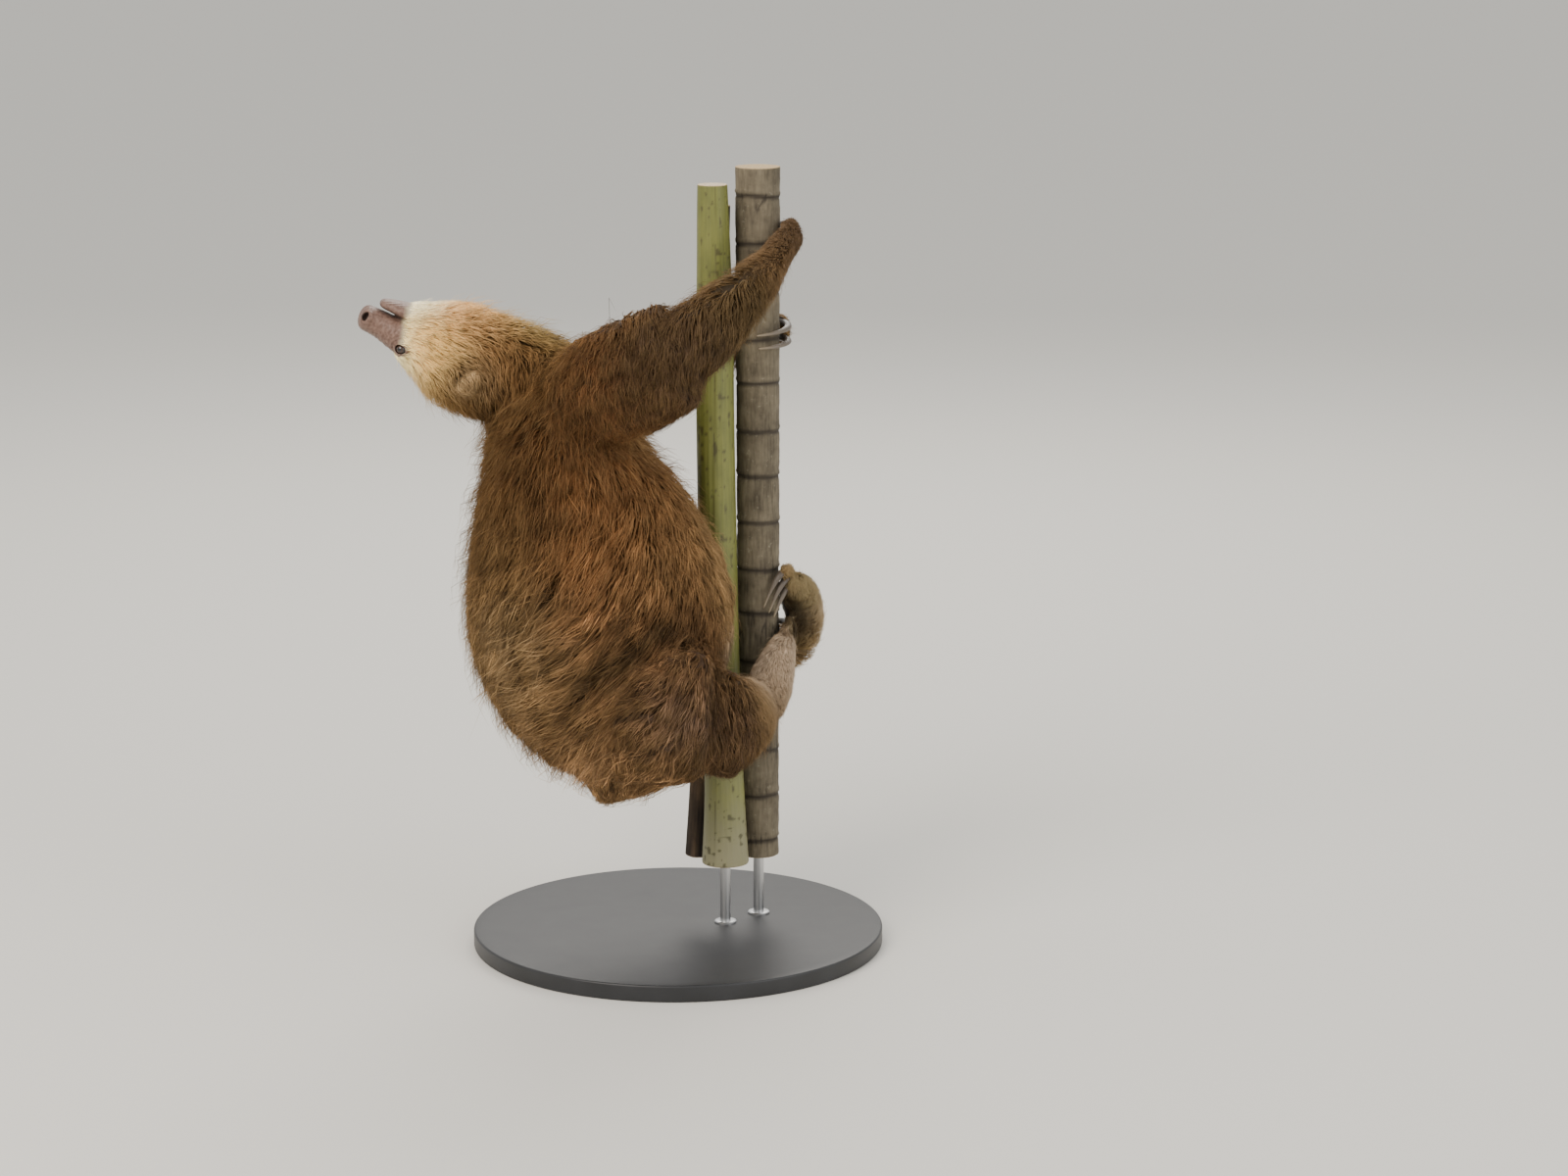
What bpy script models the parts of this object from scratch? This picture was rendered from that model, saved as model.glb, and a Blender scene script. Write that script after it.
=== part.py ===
"""A life-size Hoffmann's two-toed sloth, still, hugging a cut length of clumping palm on a display stand.

The sloth clings upright with its belly to the stems (+X) and its back to -X. Its head is thrown back over its
shoulders, so the throat is uppermost and the nose points to -X. Its own right side faces -Y.
Every solid of the animal reaches out to the tips of the coat. Sizes are in millimetres, turned to metres
by MM. Origin: centre of the base's underside. +Z is up, and the base rests on z = 0.
"""

import math

import bmesh
import bpy
import numpy as np
from mathutils import Matrix, Vector

MM = 0.001
GAP = 0.4  # clearance between neighbouring solids
DOME_REST = 0.35  # how far a dome's last ring stops short of its pole, in steps

# ---- display stand -------------------------------------------------------------------------------
BASE_RADIUS = 195.0
BASE_THICKNESS = 16.0
BASE_EDGE = 2.0
ROD_RADIUS = 5.0
ROD_SOCKET_DEPTH = 28.0
ROD_FOOT = 6.0  # height of the rods' lower ends, in blind holes in the base

# ---- perch: three stems of one palm clump --------------------------------------------------------
PERCH_BOTTOM = 76.0
PERCH_TOP = 736.0
RINGED_AXIS = (76.5, 36.0)
RINGED_RADIUS = (19.5, 21.0)  # at the bottom and at the top
SCAR_SPACING = 44.0  # leaf scars ring the stem
SCAR_RISE = 0.9
SCAR_WIDTH = 4.0

# ---- head, in its own frame: x from the occiput to the nose, y to its left, z to its crown -------
OCCIPUT = (-173.0, -20.0, 554.0)
NOSE_AIM = (-115.0, -20.0, 52.0)
CROWN_AIM = (-0.41, 0.0, -0.91)  # the head is upside down
SNOUT_FROM = 97.0
EYE_AT = (82.0, 21.5, 8.5)
EYE_RADIUS = 6.4
EAR_AT = (22.0, 47.0, 8.5)
EAR_SIZE = (9.5, 4.2, 12.0)
EAR_TURN = -20  # degrees, so that its front edge stands off the head
NOSTRIL_AT = (124.0, 8.5, -1.0)
NOSTRIL_SIZE = (5.0, 3.6, 3.0)
NOSTRIL_TURN = 34  # degrees
MOUTH_SLIT = (-13.6, 1.2)  # height in the head's frame, and width

COLOURS = {  # sRGB
    "coat": ("6b4a2c", 0.85, 0.0),
    "face": ("cdb48c", 0.8, 0.0),
    "snout": ("8f6f66", 0.5, 0.0),
    "eye": ("1d120b", 0.08, 0.0),
    "ear": ("8a7050", 0.8, 0.0),
    "foot": ("7d6a52", 0.8, 0.0),
    "claw": ("8f8170", 0.35, 0.0),
    "ringed_bark": ("6e6351", 0.85, 0.0),
    "green_stalk": ("85864a", 0.6, 0.0),
    "brown_stem": ("4b3c2e", 0.85, 0.0),
    "stand_black": ("26272a", 0.45, 0.0),
    "stand_steel": ("b9babc", 0.3, 1.0),
}


# ---- scene and small helpers ---------------------------------------------------------------------


def clear_scene():
    """Removes whatever the file opened with."""
    for obj in list(bpy.data.objects):
        bpy.data.objects.remove(obj, do_unlink=True)


def new_collection(name):
    """A collection under the scene's own."""
    made = bpy.data.collections.new(name)
    bpy.context.scene.collection.children.link(made)
    return made


def linear(hex_colour):
    """An sRGB hex colour as linear RGBA."""
    values = [int(hex_colour[i : i + 2], 16) / 255 for i in (0, 2, 4)]
    return [v / 12.92 if v <= 0.04045 else ((v + 0.055) / 1.055) ** 2.4 for v in values] + [1.0]


def material(node_name, finish):
    """A node's own Principled material in one of the named finishes."""
    colour, roughness, metallic = COLOURS[finish]
    made = bpy.data.materials.new(node_name + "_" + finish)
    made.use_nodes = True
    shader = made.node_tree.nodes["Principled BSDF"]
    shader.inputs["Base Color"].default_value = linear(colour)
    shader.inputs["Roughness"].default_value = roughness
    shader.inputs["Metallic"].default_value = metallic
    made.diffuse_color = linear(colour)
    return made


def add_object(name, mesh, finish):
    """Puts a mesh in the model's collection as a node, or with the cutters when it has no finish."""
    obj = bpy.data.objects.new(name, mesh)
    if finish is None:
        CUTTERS.objects.link(obj)
        obj.hide_render = True
        obj.display_type = "WIRE"
    else:
        MODEL.objects.link(obj)
        mesh.materials.append(material(name, finish))
    return obj


def boolean(obj, other, operation="DIFFERENCE"):
    """Cuts other out of obj, or joins it on, with the exact solver."""
    modifier = obj.modifiers.new(operation.title() + "_" + other.name, "BOOLEAN")
    modifier.operation = operation
    modifier.solver = "EXACT"
    modifier.object = other


def shade(mesh, angle=50):
    """Smooth shading with edges kept above the angle, in degrees."""
    mesh.shade_smooth()
    mesh.set_sharp_from_angle(angle=math.radians(angle))


# ---- lofts: elliptical sections carried along a smooth curve -------------------------------------


def curve_through(rows, count):
    """Catmull-Rom curve through the rows, sampled at `count` even steps of its parameter."""
    rows = np.array(rows, float)
    padded = np.vstack([2 * rows[0] - rows[1], rows, 2 * rows[-1] - rows[-2]])
    at = np.linspace(0, len(rows) - 1, count)
    span = np.minimum(at.astype(int), len(rows) - 2)
    t = (at - span)[:, None]
    p0, p1, p2, p3 = (padded[span + k] for k in range(4))
    return 0.5 * (
        2 * p1 + (p2 - p0) * t + (2 * p0 - 5 * p1 + 4 * p2 - p3) * t**2 + (3 * p1 - p0 - 3 * p2 + p3) * t**3
    )


class Loft:
    """Rings along a curve: rows are (x, y, z, half size along `side`, half size across it).

    Rings are square to the curve, or all square to `normal` where one is given.
    """

    def __init__(self, rows, side, rings, sides=16, grow=0.0, normal=None, dome_steps=2):
        sampled = curve_through(rows, rings)
        self.centres = sampled[:, :3]
        self.halves = sampled[:, 3:5] + grow
        self.sides = sides
        self.dome_steps = dome_steps
        tangents = np.gradient(self.centres, axis=0) if normal is None else np.tile(normal, (rings, 1))
        self.tangents = tangents / np.linalg.norm(tangents, axis=1)[:, None]
        side = np.array(side, float)
        first = side - (self.tangents @ side)[:, None] * self.tangents
        self.first = first / np.linalg.norm(first, axis=1)[:, None]
        self.second = np.cross(self.tangents, self.first)

    def ring(self, index, along=0.0, scale=1.0):
        """The points of one ring, moved `along` its tangent and scaled about its centre."""
        angle = np.linspace(0, 2 * math.pi, self.sides, endpoint=False)[:, None]
        half_a, half_b = self.halves[index] * scale
        centre = self.centres[index] + along * self.tangents[index]
        across = half_a * np.cos(angle) * self.first[index]
        return centre + across + half_b * np.sin(angle) * self.second[index]

    def dome(self, index, outward, depth):
        """Rings that close an end in a quarter ellipse, from the rim inwards to a small last one."""
        angles = [math.pi / 2 * (k + 1) / (self.dome_steps + DOME_REST) for k in range(self.dome_steps)]
        return [self.ring(index, outward * depth * math.sin(a), math.cos(a)) for a in angles]

    def mesh(self, name, start_dome=None, stop_dome=None, pose=None):
        """The closed mesh of the rings. An end with no dome is cut flat, half a gap short of its ring."""
        last = len(self.centres) - 1
        rings = [self.ring(i) for i in range(last + 1)]
        if start_dome is None:
            rings[0] = self.ring(0, GAP / 2)
        else:
            rings = self.dome(0, -1, start_dome)[::-1] + rings
        if stop_dome is None:
            rings[-1] = self.ring(last, -GAP / 2)
        else:
            rings = rings + self.dome(last, 1, stop_dome)
        return ring_mesh(name, rings, pose)


def ring_mesh(name, rings, pose=None):
    """A closed mesh over rings of equal length, in millimetres, with its faces out."""
    made = bmesh.new()
    loops = [[made.verts.new(Vector(point) * MM) for point in ring] for ring in rings]
    count = len(loops[0])
    for lower, upper in zip(loops, loops[1:]):
        for i in range(count):
            j = (i + 1) % count
            made.faces.new((lower[i], lower[j], upper[j]))
            made.faces.new((lower[i], upper[j], upper[i]))
    made.faces.new(loops[0][::-1])
    made.faces.new(loops[-1])
    bmesh.ops.recalc_face_normals(made, faces=made.faces)
    if pose is not None:
        made.transform(pose)
    mesh = bpy.data.meshes.new(name)
    made.to_mesh(mesh)
    made.free()
    shade(mesh)
    return mesh


def ellipsoid(name, finish, centre, halves, pose, turn=0.0, grow=0.0):
    """A sphere stretched to three half sizes, turned about its own z, and put in a pose."""
    made = bmesh.new()
    bmesh.ops.create_uvsphere(made, u_segments=8, v_segments=6, radius=1.0)
    size = Matrix.Diagonal([*[(h + grow) * MM for h in halves], 1.0])
    place = Matrix.Translation(Vector(centre) * MM)
    made.transform(pose @ place @ Matrix.Rotation(turn, 4, "Z") @ size)
    mesh = bpy.data.meshes.new(name)
    made.to_mesh(mesh)
    made.free()
    shade(mesh)
    return add_object(name, mesh, finish)


def cylinder(name, finish, centre_xy, radius, low, high, sides=24):
    """An upright cylinder between two heights."""
    made = bmesh.new()
    bmesh.ops.create_cone(
        made, cap_ends=True, segments=sides, radius1=radius * MM, radius2=radius * MM, depth=(high - low) * MM
    )
    made.transform(Matrix.Translation(Vector((*centre_xy, (low + high) / 2)) * MM))
    mesh = bpy.data.meshes.new(name)
    made.to_mesh(mesh)
    made.free()
    shade(mesh)
    return add_object(name, mesh, finish)


def box(name, pose, centre, size):
    """A cutter block in a pose."""
    made = bmesh.new()
    bmesh.ops.create_cube(made, size=1.0)
    place = Matrix.Translation(Vector(centre) * MM)
    made.transform(pose @ place @ Matrix.Diagonal([*[s * MM for s in size], 1.0]))
    mesh = bpy.data.meshes.new(name)
    made.to_mesh(mesh)
    made.free()
    return add_object(name, mesh, None)


def frame_matrix(origin, forward, up):
    """A pose whose x runs along `forward` and whose z is as near `up` as it can be."""
    x = Vector(forward).normalized()
    z = Vector(up)
    z = (z - z.dot(x) * x).normalized()
    y = z.cross(x)
    turn = Matrix((x, y, z)).transposed().to_4x4()
    return Matrix.Translation(Vector(origin) * MM) @ turn


# ---- perch ---------------------------------------------------------------------------------------


def plain_radius(z):
    """The ringed stem's radius between its scars at a height."""
    share = (z - PERCH_BOTTOM) / (PERCH_TOP - PERCH_BOTTOM)
    return RINGED_RADIUS[0] + (RINGED_RADIUS[1] - RINGED_RADIUS[0]) * share


def ringed_profile():
    """Radius and height up the ringed stem: at each scar it steps out, then draws in again to the next."""
    profile = [(plain_radius(PERCH_BOTTOM), PERCH_BOTTOM)]
    for scar in np.arange(PERCH_BOTTOM + SCAR_SPACING / 2, PERCH_TOP, SCAR_SPACING):
        below = scar - SCAR_WIDTH
        profile += [(plain_radius(below), below), (plain_radius(scar) + SCAR_RISE, scar)]
    return profile + [(plain_radius(PERCH_TOP), PERCH_TOP)]


def ringed_stem(name, finish):
    """The main stem: a turned profile, closed on the axis at both flat ends."""
    profile = [(0.0, PERCH_TOP), *reversed(ringed_profile()), (0.0, PERCH_BOTTOM)]
    mesh = bpy.data.meshes.new(name)
    points = [(radius * MM, 0.0, z * MM) for radius, z in profile]
    mesh.from_pydata(points, [(i, i + 1) for i in range(len(points) - 1)], [])
    obj = add_object(name, mesh, finish)
    obj.location = Vector((*RINGED_AXIS, 0.0)) * MM
    screw = obj.modifiers.new("Turned", "SCREW")
    screw.steps = screw.render_steps = 12
    screw.use_merge_vertices = True
    screw.merge_threshold = 0.00005
    screw.use_smooth_shade = True
    return obj


GREEN_ROWS = [  # a leaf stalk that swells at its foot and narrows upwards
    (45.0, 5.0, PERCH_BOTTOM, 22.5, 22.5),
    (44.0, 9.0, 150.0, 19.0, 19.0),
    (41.0, 12.0, 270.0, 18.2, 18.2),
    (37.5, 13.0, 450.0, 18.2, 18.2),
    (36.5, 12.0, 600.0, 17.0, 17.0),
    (35.0, 11.0, 722.0, 14.0, 14.0),
]
BROWN_ROWS = [  # a dead stem pressed against the stalk's far side, which is cut to fit it
    (21.0, 33.0, PERCH_BOTTOM, 15.5, 15.5),
    (27.0, 38.0, 200.0, 14.5, 14.5),
    (33.0, 42.5, 450.0, 13.0, 13.0),
    (41.0, 35.0, 700.0, 11.0, 11.0),
]


def slender_stem(name, finish, rows, rings, sides, grow=0.0):
    """A round stem along a leaning line, sawn level at both ends."""
    rows = [list(row) for row in rows]
    rows[0][2] -= grow
    rows[-1][2] += grow
    loft = Loft(rows, (0, 1, 0), rings, sides, grow, normal=(0.0, 0.0, 1.0))
    return add_object(name, loft.mesh(name), finish)


def build_perch():
    """The three stems, and cutters a gap larger than them."""
    green = ("green_stalk", GREEN_ROWS, 11, 14)
    brown = ("brown_stem", BROWN_ROWS, 6, 12)
    stems = {"perch_ringed_stem": ringed_stem("perch_ringed_stem", "ringed_bark")}
    cutters = []
    for finish, rows, rings, sides in (green, brown):
        stems["perch_" + finish] = slender_stem("perch_" + finish, finish, rows, rings, sides)
        cutters.append(slender_stem("cut_" + finish, None, rows, rings, sides, GAP))
    boolean(stems["perch_brown_stem"], cutters[0])
    clear = SCAR_RISE + GAP + 0.4  # the cutter's flats stay outside the scars
    low, high = (radius + clear for radius in RINGED_RADIUS)
    rows = [(*RINGED_AXIS, PERCH_BOTTOM, low, low), (*RINGED_AXIS, PERCH_TOP, high, high)]
    cutters.append(slender_stem("cut_ringed_stem", None, rows, 3, 16, GAP))
    return stems, cutters


# ---- stand ---------------------------------------------------------------------------------------


def build_stand(stems):
    """A round base with two rods, which stand in blind holes in it and reach up into sockets in two stems."""
    base = cylinder("stand_base", "stand_black", (0, 0), BASE_RADIUS, 0.0, BASE_THICKNESS, sides=40)
    bevel = base.modifiers.new("Rounded_edges", "BEVEL")
    bevel.width = BASE_EDGE * MM
    bevel.segments = 1
    bevel.limit_method = "ANGLE"
    rods = (
        ("stand_rod_ringed", RINGED_AXIS, stems["perch_ringed_stem"]),
        ("stand_rod_green", GREEN_ROWS[0][:2], stems["perch_green_stalk"]),
    )
    for name, axis, stem in rods:
        top = PERCH_BOTTOM + ROD_SOCKET_DEPTH
        cylinder(name, "stand_steel", axis, ROD_RADIUS, ROD_FOOT, top, sides=12)
        hole = cylinder("cut_" + name, None, axis, ROD_RADIUS + GAP, ROD_FOOT - GAP, top + GAP, sides=12)
        boolean(base, hole)
        boolean(stem, hole)


# ---- trunk and neck ------------------------------------------------------------------------------

# Rows run from the shoulders down to the rump; half sizes are across the body, then front to back.
TRUNK_ROWS = [
    (-95.0, -22.0, 548.0, 58.0, 42.0),
    (-99.0, -24.0, 512.0, 76.0, 66.0),
    (-100.0, -27.0, 466.0, 86.0, 85.0),
    (-87.0, -31.0, 412.0, 96.0, 108.0),
    (-75.0, -35.0, 351.0, 104.0, 124.0),
    (-65.0, -35.0, 290.0, 106.0, 121.0),
    (-50.0, -35.0, 234.0, 98.0, 99.0),
    (-34.0, -35.0, 192.0, 72.0, 62.0),
]
TRUNK_DOMES = (22.0, 34.0)  # past the shoulders and past the rump
NECK_ROWS = [  # its last ring lies inside the head, whose back is a flat cut
    (-96.0, -22.0, 516.0, 50.0, 44.0),
    (-118.0, -22.0, 541.0, 51.0, 47.0),
    (-143.0, -21.0, 552.0, 49.0, 50.0),
    (-172.0, -20.0, 558.0, 47.0, 53.0),
    (-188.0, -23.0, 563.0, 47.0, 54.0),
]
NECK_DOME = 10.0


def build_trunk(stem_cutters, head_cutter):
    """The trunk from shoulders to rump, hollowed where it presses on the stems and the head lies on it."""
    shoulders, rump = TRUNK_DOMES
    loft = Loft(TRUNK_ROWS, (0, 1, 0), 12, 20)
    trunk = add_object("trunk", loft.mesh("trunk", shoulders, rump), "coat")
    for cutter in [*stem_cutters, head_cutter]:
        boolean(trunk, cutter)
    grown = Loft(TRUNK_ROWS, (0, 1, 0), 12, 20, GAP)
    return add_object("cut_trunk", grown.mesh("cut_trunk", shoulders + GAP, rump + GAP), None)


def build_neck(trunk_cutter, head_pose):
    """The neck, between the trunk and the flat back of the head."""
    neck = Loft(NECK_ROWS, (0, 1, 0), 7, 16)
    obj = add_object("neck", neck.mesh("neck", NECK_DOME), "coat")
    boolean(obj, trunk_cutter)
    boolean(obj, box("cut_neck_end", head_pose, (60.0 - GAP, 0.0, 0.0), (120.0, 200.0, 200.0)))
    grown = Loft(NECK_ROWS, (0, 1, 0), 7, 16, GAP)
    return add_object("cut_neck", grown.mesh("cut_neck", NECK_DOME + GAP), None)


# ---- head ----------------------------------------------------------------------------------------

HEAD_ROWS = [  # along x: height of the centre, half width, half height
    (0.0, 0.0, -3.0, 46.5, 53.0),
    (14.0, 0.0, -3.0, 48.5, 54.0),
    (30.0, 0.0, -2.0, 50.0, 53.5),
    (48.0, 0.0, -3.0, 47.0, 47.5),
    (64.0, 0.0, -5.0, 40.0, 38.0),
    (80.0, 0.0, -6.0, 31.5, 29.0),
    (SNOUT_FROM, 0.0, -6.5, 23.0, 22.5),
]
MUZZLE_ROWS = [  # the upper snout with its broad, blunt nose
    (SNOUT_FROM, 0.0, 1.5, 22.2, 14.5),
    (106.0, 0.0, 0.6, 19.0, 13.6),
    (114.0, 0.0, 0.4, 17.6, 13.2),
    (121.5, 0.0, 1.0, 16.2, 12.0),
]
JAW_ROWS = [
    (SNOUT_FROM, 0.0, -21.4, 18.0, 7.2),
    (105.0, 0.0, -21.0, 14.2, 6.6),
    (111.0, 0.0, -19.8, 11.6, 5.8),
]
HEAD_X = (1.0, 0.0, 0.0)
NOSE_DOME, CHIN_DOME = 5.5, 5.0


def build_head(pose):
    """Head, muzzle, lower jaw, eyes and ears, and the cutter of the head's back."""
    head_loft = Loft(HEAD_ROWS, (0, 1, 0), 10, 16, normal=HEAD_X)
    head = add_object("head", head_loft.mesh("head", pose=pose), "face")
    muzzle_loft = Loft(MUZZLE_ROWS, (0, 1, 0), 5, 14, normal=HEAD_X)
    muzzle = add_object("muzzle", muzzle_loft.mesh("muzzle", stop_dome=NOSE_DOME, pose=pose), "snout")
    jaw_loft = Loft(JAW_ROWS, (0, 1, 0), 4, 12, normal=HEAD_X)
    add_object("lower_jaw", jaw_loft.mesh("lower_jaw", stop_dome=CHIN_DOME, pose=pose), "snout")
    height, width = MOUTH_SLIT
    boolean(head, box("cut_mouth", pose, (SNOUT_FROM, 0.0, height), (30.0, 120.0, width)))
    for name, hand in (("right", -1), ("left", 1)):
        eye_at, ear_at, nostril_at = ((at[0], hand * at[1], at[2]) for at in (EYE_AT, EAR_AT, NOSTRIL_AT))
        ellipsoid("eye_" + name, "eye", eye_at, [EYE_RADIUS] * 3, pose)
        boolean(head, ellipsoid("cut_eye_" + name, None, eye_at, [EYE_RADIUS] * 3, pose, grow=GAP))
        turn = hand * math.radians(EAR_TURN)
        ellipsoid("ear_" + name, "ear", ear_at, EAR_SIZE, pose, turn)
        boolean(head, ellipsoid("cut_ear_" + name, None, ear_at, EAR_SIZE, pose, turn, grow=GAP))
        turn = hand * math.radians(NOSTRIL_TURN)
        boolean(muzzle, ellipsoid("cut_nostril_" + name, None, nostril_at, NOSTRIL_SIZE, pose, turn))
    grown = Loft(HEAD_ROWS, (0, 1, 0), 10, 16, GAP, normal=HEAD_X)
    return add_object("cut_head", grown.mesh("cut_head", start_dome=1.0, pose=pose), None)


# ---- limbs ---------------------------------------------------------------------------------------

# Each limb is two lofts that overlap at the elbow or knee, where the lower one is cut clear of the upper one.
# Half sizes are upright, then across.
LIMBS = {
    "arm_right": {
        "upper_arm_right": [
            (-84.0, -58.0, 532.0, 46.0, 44.0),
            (-58.0, -86.0, 551.0, 53.0, 44.0),
            (-28.0, -116.0, 570.0, 52.0, 40.0),
            (2.0, -133.0, 585.0, 49.0, 36.0),
        ],
        "forearm_right": [
            (-6.0, -134.0, 580.0, 37.0, 32.0),
            (26.0, -116.0, 601.0, 36.0, 32.0),
            (58.0, -82.0, 625.0, 31.0, 27.0),
            (86.0, -42.0, 649.0, 22.0, 18.0),
        ],
    },
    "arm_left": {
        "upper_arm_left": [
            (-88.0, 14.0, 524.0, 44.0, 42.0),
            (-66.0, 48.0, 524.0, 46.0, 42.0),
            (-38.0, 86.0, 520.0, 44.0, 38.0),
            (-12.0, 112.0, 518.0, 38.0, 33.0),
        ],
        "forearm_left": [
            (-16.0, 114.0, 518.0, 34.0, 31.0),
            (10.0, 119.0, 531.0, 33.0, 30.0),
            (36.0, 110.0, 551.0, 27.0, 25.0),
            (59.0, 94.0, 569.0, 20.0, 17.0),
        ],
    },
    "leg_right": {
        "thigh_right": [
            (-52.0, -38.0, 234.0, 54.0, 42.0),
            (-34.0, -86.0, 245.0, 64.0, 50.0),
            (-2.0, -112.0, 253.0, 66.0, 46.0),
            (28.0, -120.0, 252.0, 58.0, 38.0),
        ],
        "shank_right": [
            (20.0, -112.0, 246.0, 46.0, 30.0),
            (44.0, -98.0, 240.0, 51.0, 37.0),
            (62.0, -68.0, 233.0, 43.0, 31.0),
            (74.0, -42.0, 233.0, 34.0, 24.0),
        ],
    },
    "leg_left": {
        "thigh_left": [
            (-66.0, 4.0, 222.0, 56.0, 48.0),
            (-44.0, 42.0, 228.0, 60.0, 46.0),
            (-18.0, 80.0, 234.0, 56.0, 42.0),
            (6.0, 106.0, 238.0, 46.0, 36.0),
        ],
        "shank_left": [
            (2.0, 108.0, 236.0, 42.0, 34.0),
            (40.0, 114.0, 244.0, 38.0, 33.0),
            (84.0, 103.0, 258.0, 30.0, 26.0),
            (118.0, 84.0, 274.0, 22.0, 19.0),
        ],
    },
}
LIMB_RINGS = 7
LIMB_SIDES = 12
LIMB_END = 14.0


def build_limb(limb, body_cutters, stem_cutters):
    """Both pieces of an arm or a leg, cut clear of the body and the stems. Returns the lower one's cutter."""
    previous = []
    for name, rows in limb.items():
        loft = Loft(rows, (0, 0, 1), LIMB_RINGS, LIMB_SIDES)
        piece = add_object(name, loft.mesh(name, LIMB_END, LIMB_END), "coat")
        for cutter in body_cutters + stem_cutters + previous:
            boolean(piece, cutter)
        grown = Loft(rows, (0, 0, 1), LIMB_RINGS, LIMB_SIDES, GAP)
        end = LIMB_END + GAP
        previous = [add_object("cut_" + name, grown.mesh("cut_" + name, end, end), None)]
    return previous[0]


# ---- hands and feet ------------------------------------------------------------------------------

# Rows run from the wrist or ankle along the palm or sole; half sizes are along `side`, then across it.
# Each claw goes round the ringed stem: start and end angle about it (0 at +X, 90 at +Y), and start and
# end height. A droop above 1 keeps its root level and bends its tip down.
EXTREMITIES = {
    "hand_right": {
        "side": (0.0, 0.0, 1.0),
        "rows": [
            (86.0, -42.0, 649.0, 20.0, 17.0),
            (96.0, -18.0, 662.0, 18.0, 14.0),
            (104.0, 2.0, 670.0, 16.5, 12.0),
            (110.0, 20.0, 674.0, 15.0, 10.0),
        ],
        "claws": [(4.0, 128.0, 682.0, 676.0), (4.0, 128.0, 667.0, 662.0)],
        "claw_orbit": (29.0, 26.5),
        "claw_droop": 1.0,
    },
    "hand_left": {
        "side": (0.0, 0.0, 1.0),
        "rows": [
            (59.0, 94.0, 569.0, 19.0, 16.5),
            (74.0, 85.0, 575.0, 18.0, 13.5),
            (89.0, 76.0, 579.0, 17.0, 11.5),
            (99.0, 66.0, 580.0, 15.0, 10.0),
        ],
        "claws": [(50.0, -92.0, 589.0, 581.0), (50.0, -88.0, 574.0, 569.0)],
        "claw_orbit": (28.5, 25.5),
        "claw_droop": 1.0,
    },
    "foot_right": {
        "side": (1.0, 0.0, 0.0),
        "rows": [
            (80.0, -36.0, 238.0, 24.0, 20.0),
            (89.0, -20.0, 258.0, 22.5, 19.0),
            (95.0, -8.0, 278.0, 17.5, 17.0),
            (102.0, 4.0, 294.0, 12.0, 14.0),
        ],
        "claws": [(-4.0, 106.0, 302.0, 299.0), (-4.0, 110.0, 292.0, 290.0), (-4.0, 106.0, 282.0, 281.0)],
        "claw_orbit": (28.5, 25.0),
        "claw_droop": 1.0,
    },
    "foot_left": {
        "side": (1.0, 0.0, 0.0),
        "rows": [
            (118.0, 84.0, 274.0, 18.0, 19.0),
            (121.5, 74.0, 298.0, 20.0, 20.0),
            (117.5, 58.0, 322.0, 20.5, 20.0),
            (112.0, 41.0, 335.0, 18.0, 18.0),
            (106.0, 26.0, 338.0, 12.0, 14.0),
        ],
        "claws": [(-32.0, -78.0, 356.0, 322.0), (-20.0, -66.0, 349.0, 317.0), (-8.0, -54.0, 342.0, 312.0)],
        "claw_orbit": (30.0, 25.0),
        "claw_droop": 1.9,
    },
}
CLAW_ROOT = (3.6, 5.0)  # half width, half depth
CLAW_TIP = (0.8, 1.0)
CLAW_TAPER = 1.35  # above 1 keeps the claw stout until near its tip
DIGIT_SHARE = 0.15  # of the claw's turn, sheathed in the digit
DIGIT_HALF = (6.4, 7.0)
PALM_DOMES = (8.0, 9.0)  # at the wrist or ankle, and at the digits
DIGIT_DOME = 4.0
CLAW_DOMES = (2.0, 1.5)


def orbit_point(angle_deg, radius, height):
    """A point round the ringed stem's axis."""
    angle = math.radians(angle_deg)
    return (RINGED_AXIS[0] + radius * math.cos(angle), RINGED_AXIS[1] + radius * math.sin(angle), height)


def orbit_rows(claw, orbit, droop, shares, halves):
    """Rows at some shares of a claw's arc about the ringed stem."""
    start, stop, low, high = claw
    return [
        (*orbit_point(start + (stop - start) * share, orbit[0] + (orbit[1] - orbit[0]) * share,
                      low + (high - low) * share * abs(share) ** (droop - 1)), *half)
        for share, half in zip(shares, halves)
    ]


def claw_rows(claw, orbit, droop):
    """Rows of a claw, stout at its root and drawn to a point."""
    shares = np.linspace(0, 1, 7)
    drawn = shares[:, None] ** CLAW_TAPER
    halves = np.array(CLAW_ROOT) + (np.array(CLAW_TIP) - np.array(CLAW_ROOT)) * drawn
    return orbit_rows(claw, orbit, droop, shares, halves)


def digit_rows(claw, orbit, droop):
    """Rows of the digit that sheathes a claw's root, starting well inside the palm."""
    halves = [[half * swell for half in DIGIT_HALF] for swell in (1.0, 1.05, 1.0, 0.84)]
    out = (orbit[0] + 2.5, orbit[0] + 1.5)  # the digit lies a little outside its claw
    return orbit_rows(claw, out, droop, (-0.3, -0.12, 0.02, DIGIT_SHARE), halves)


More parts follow.
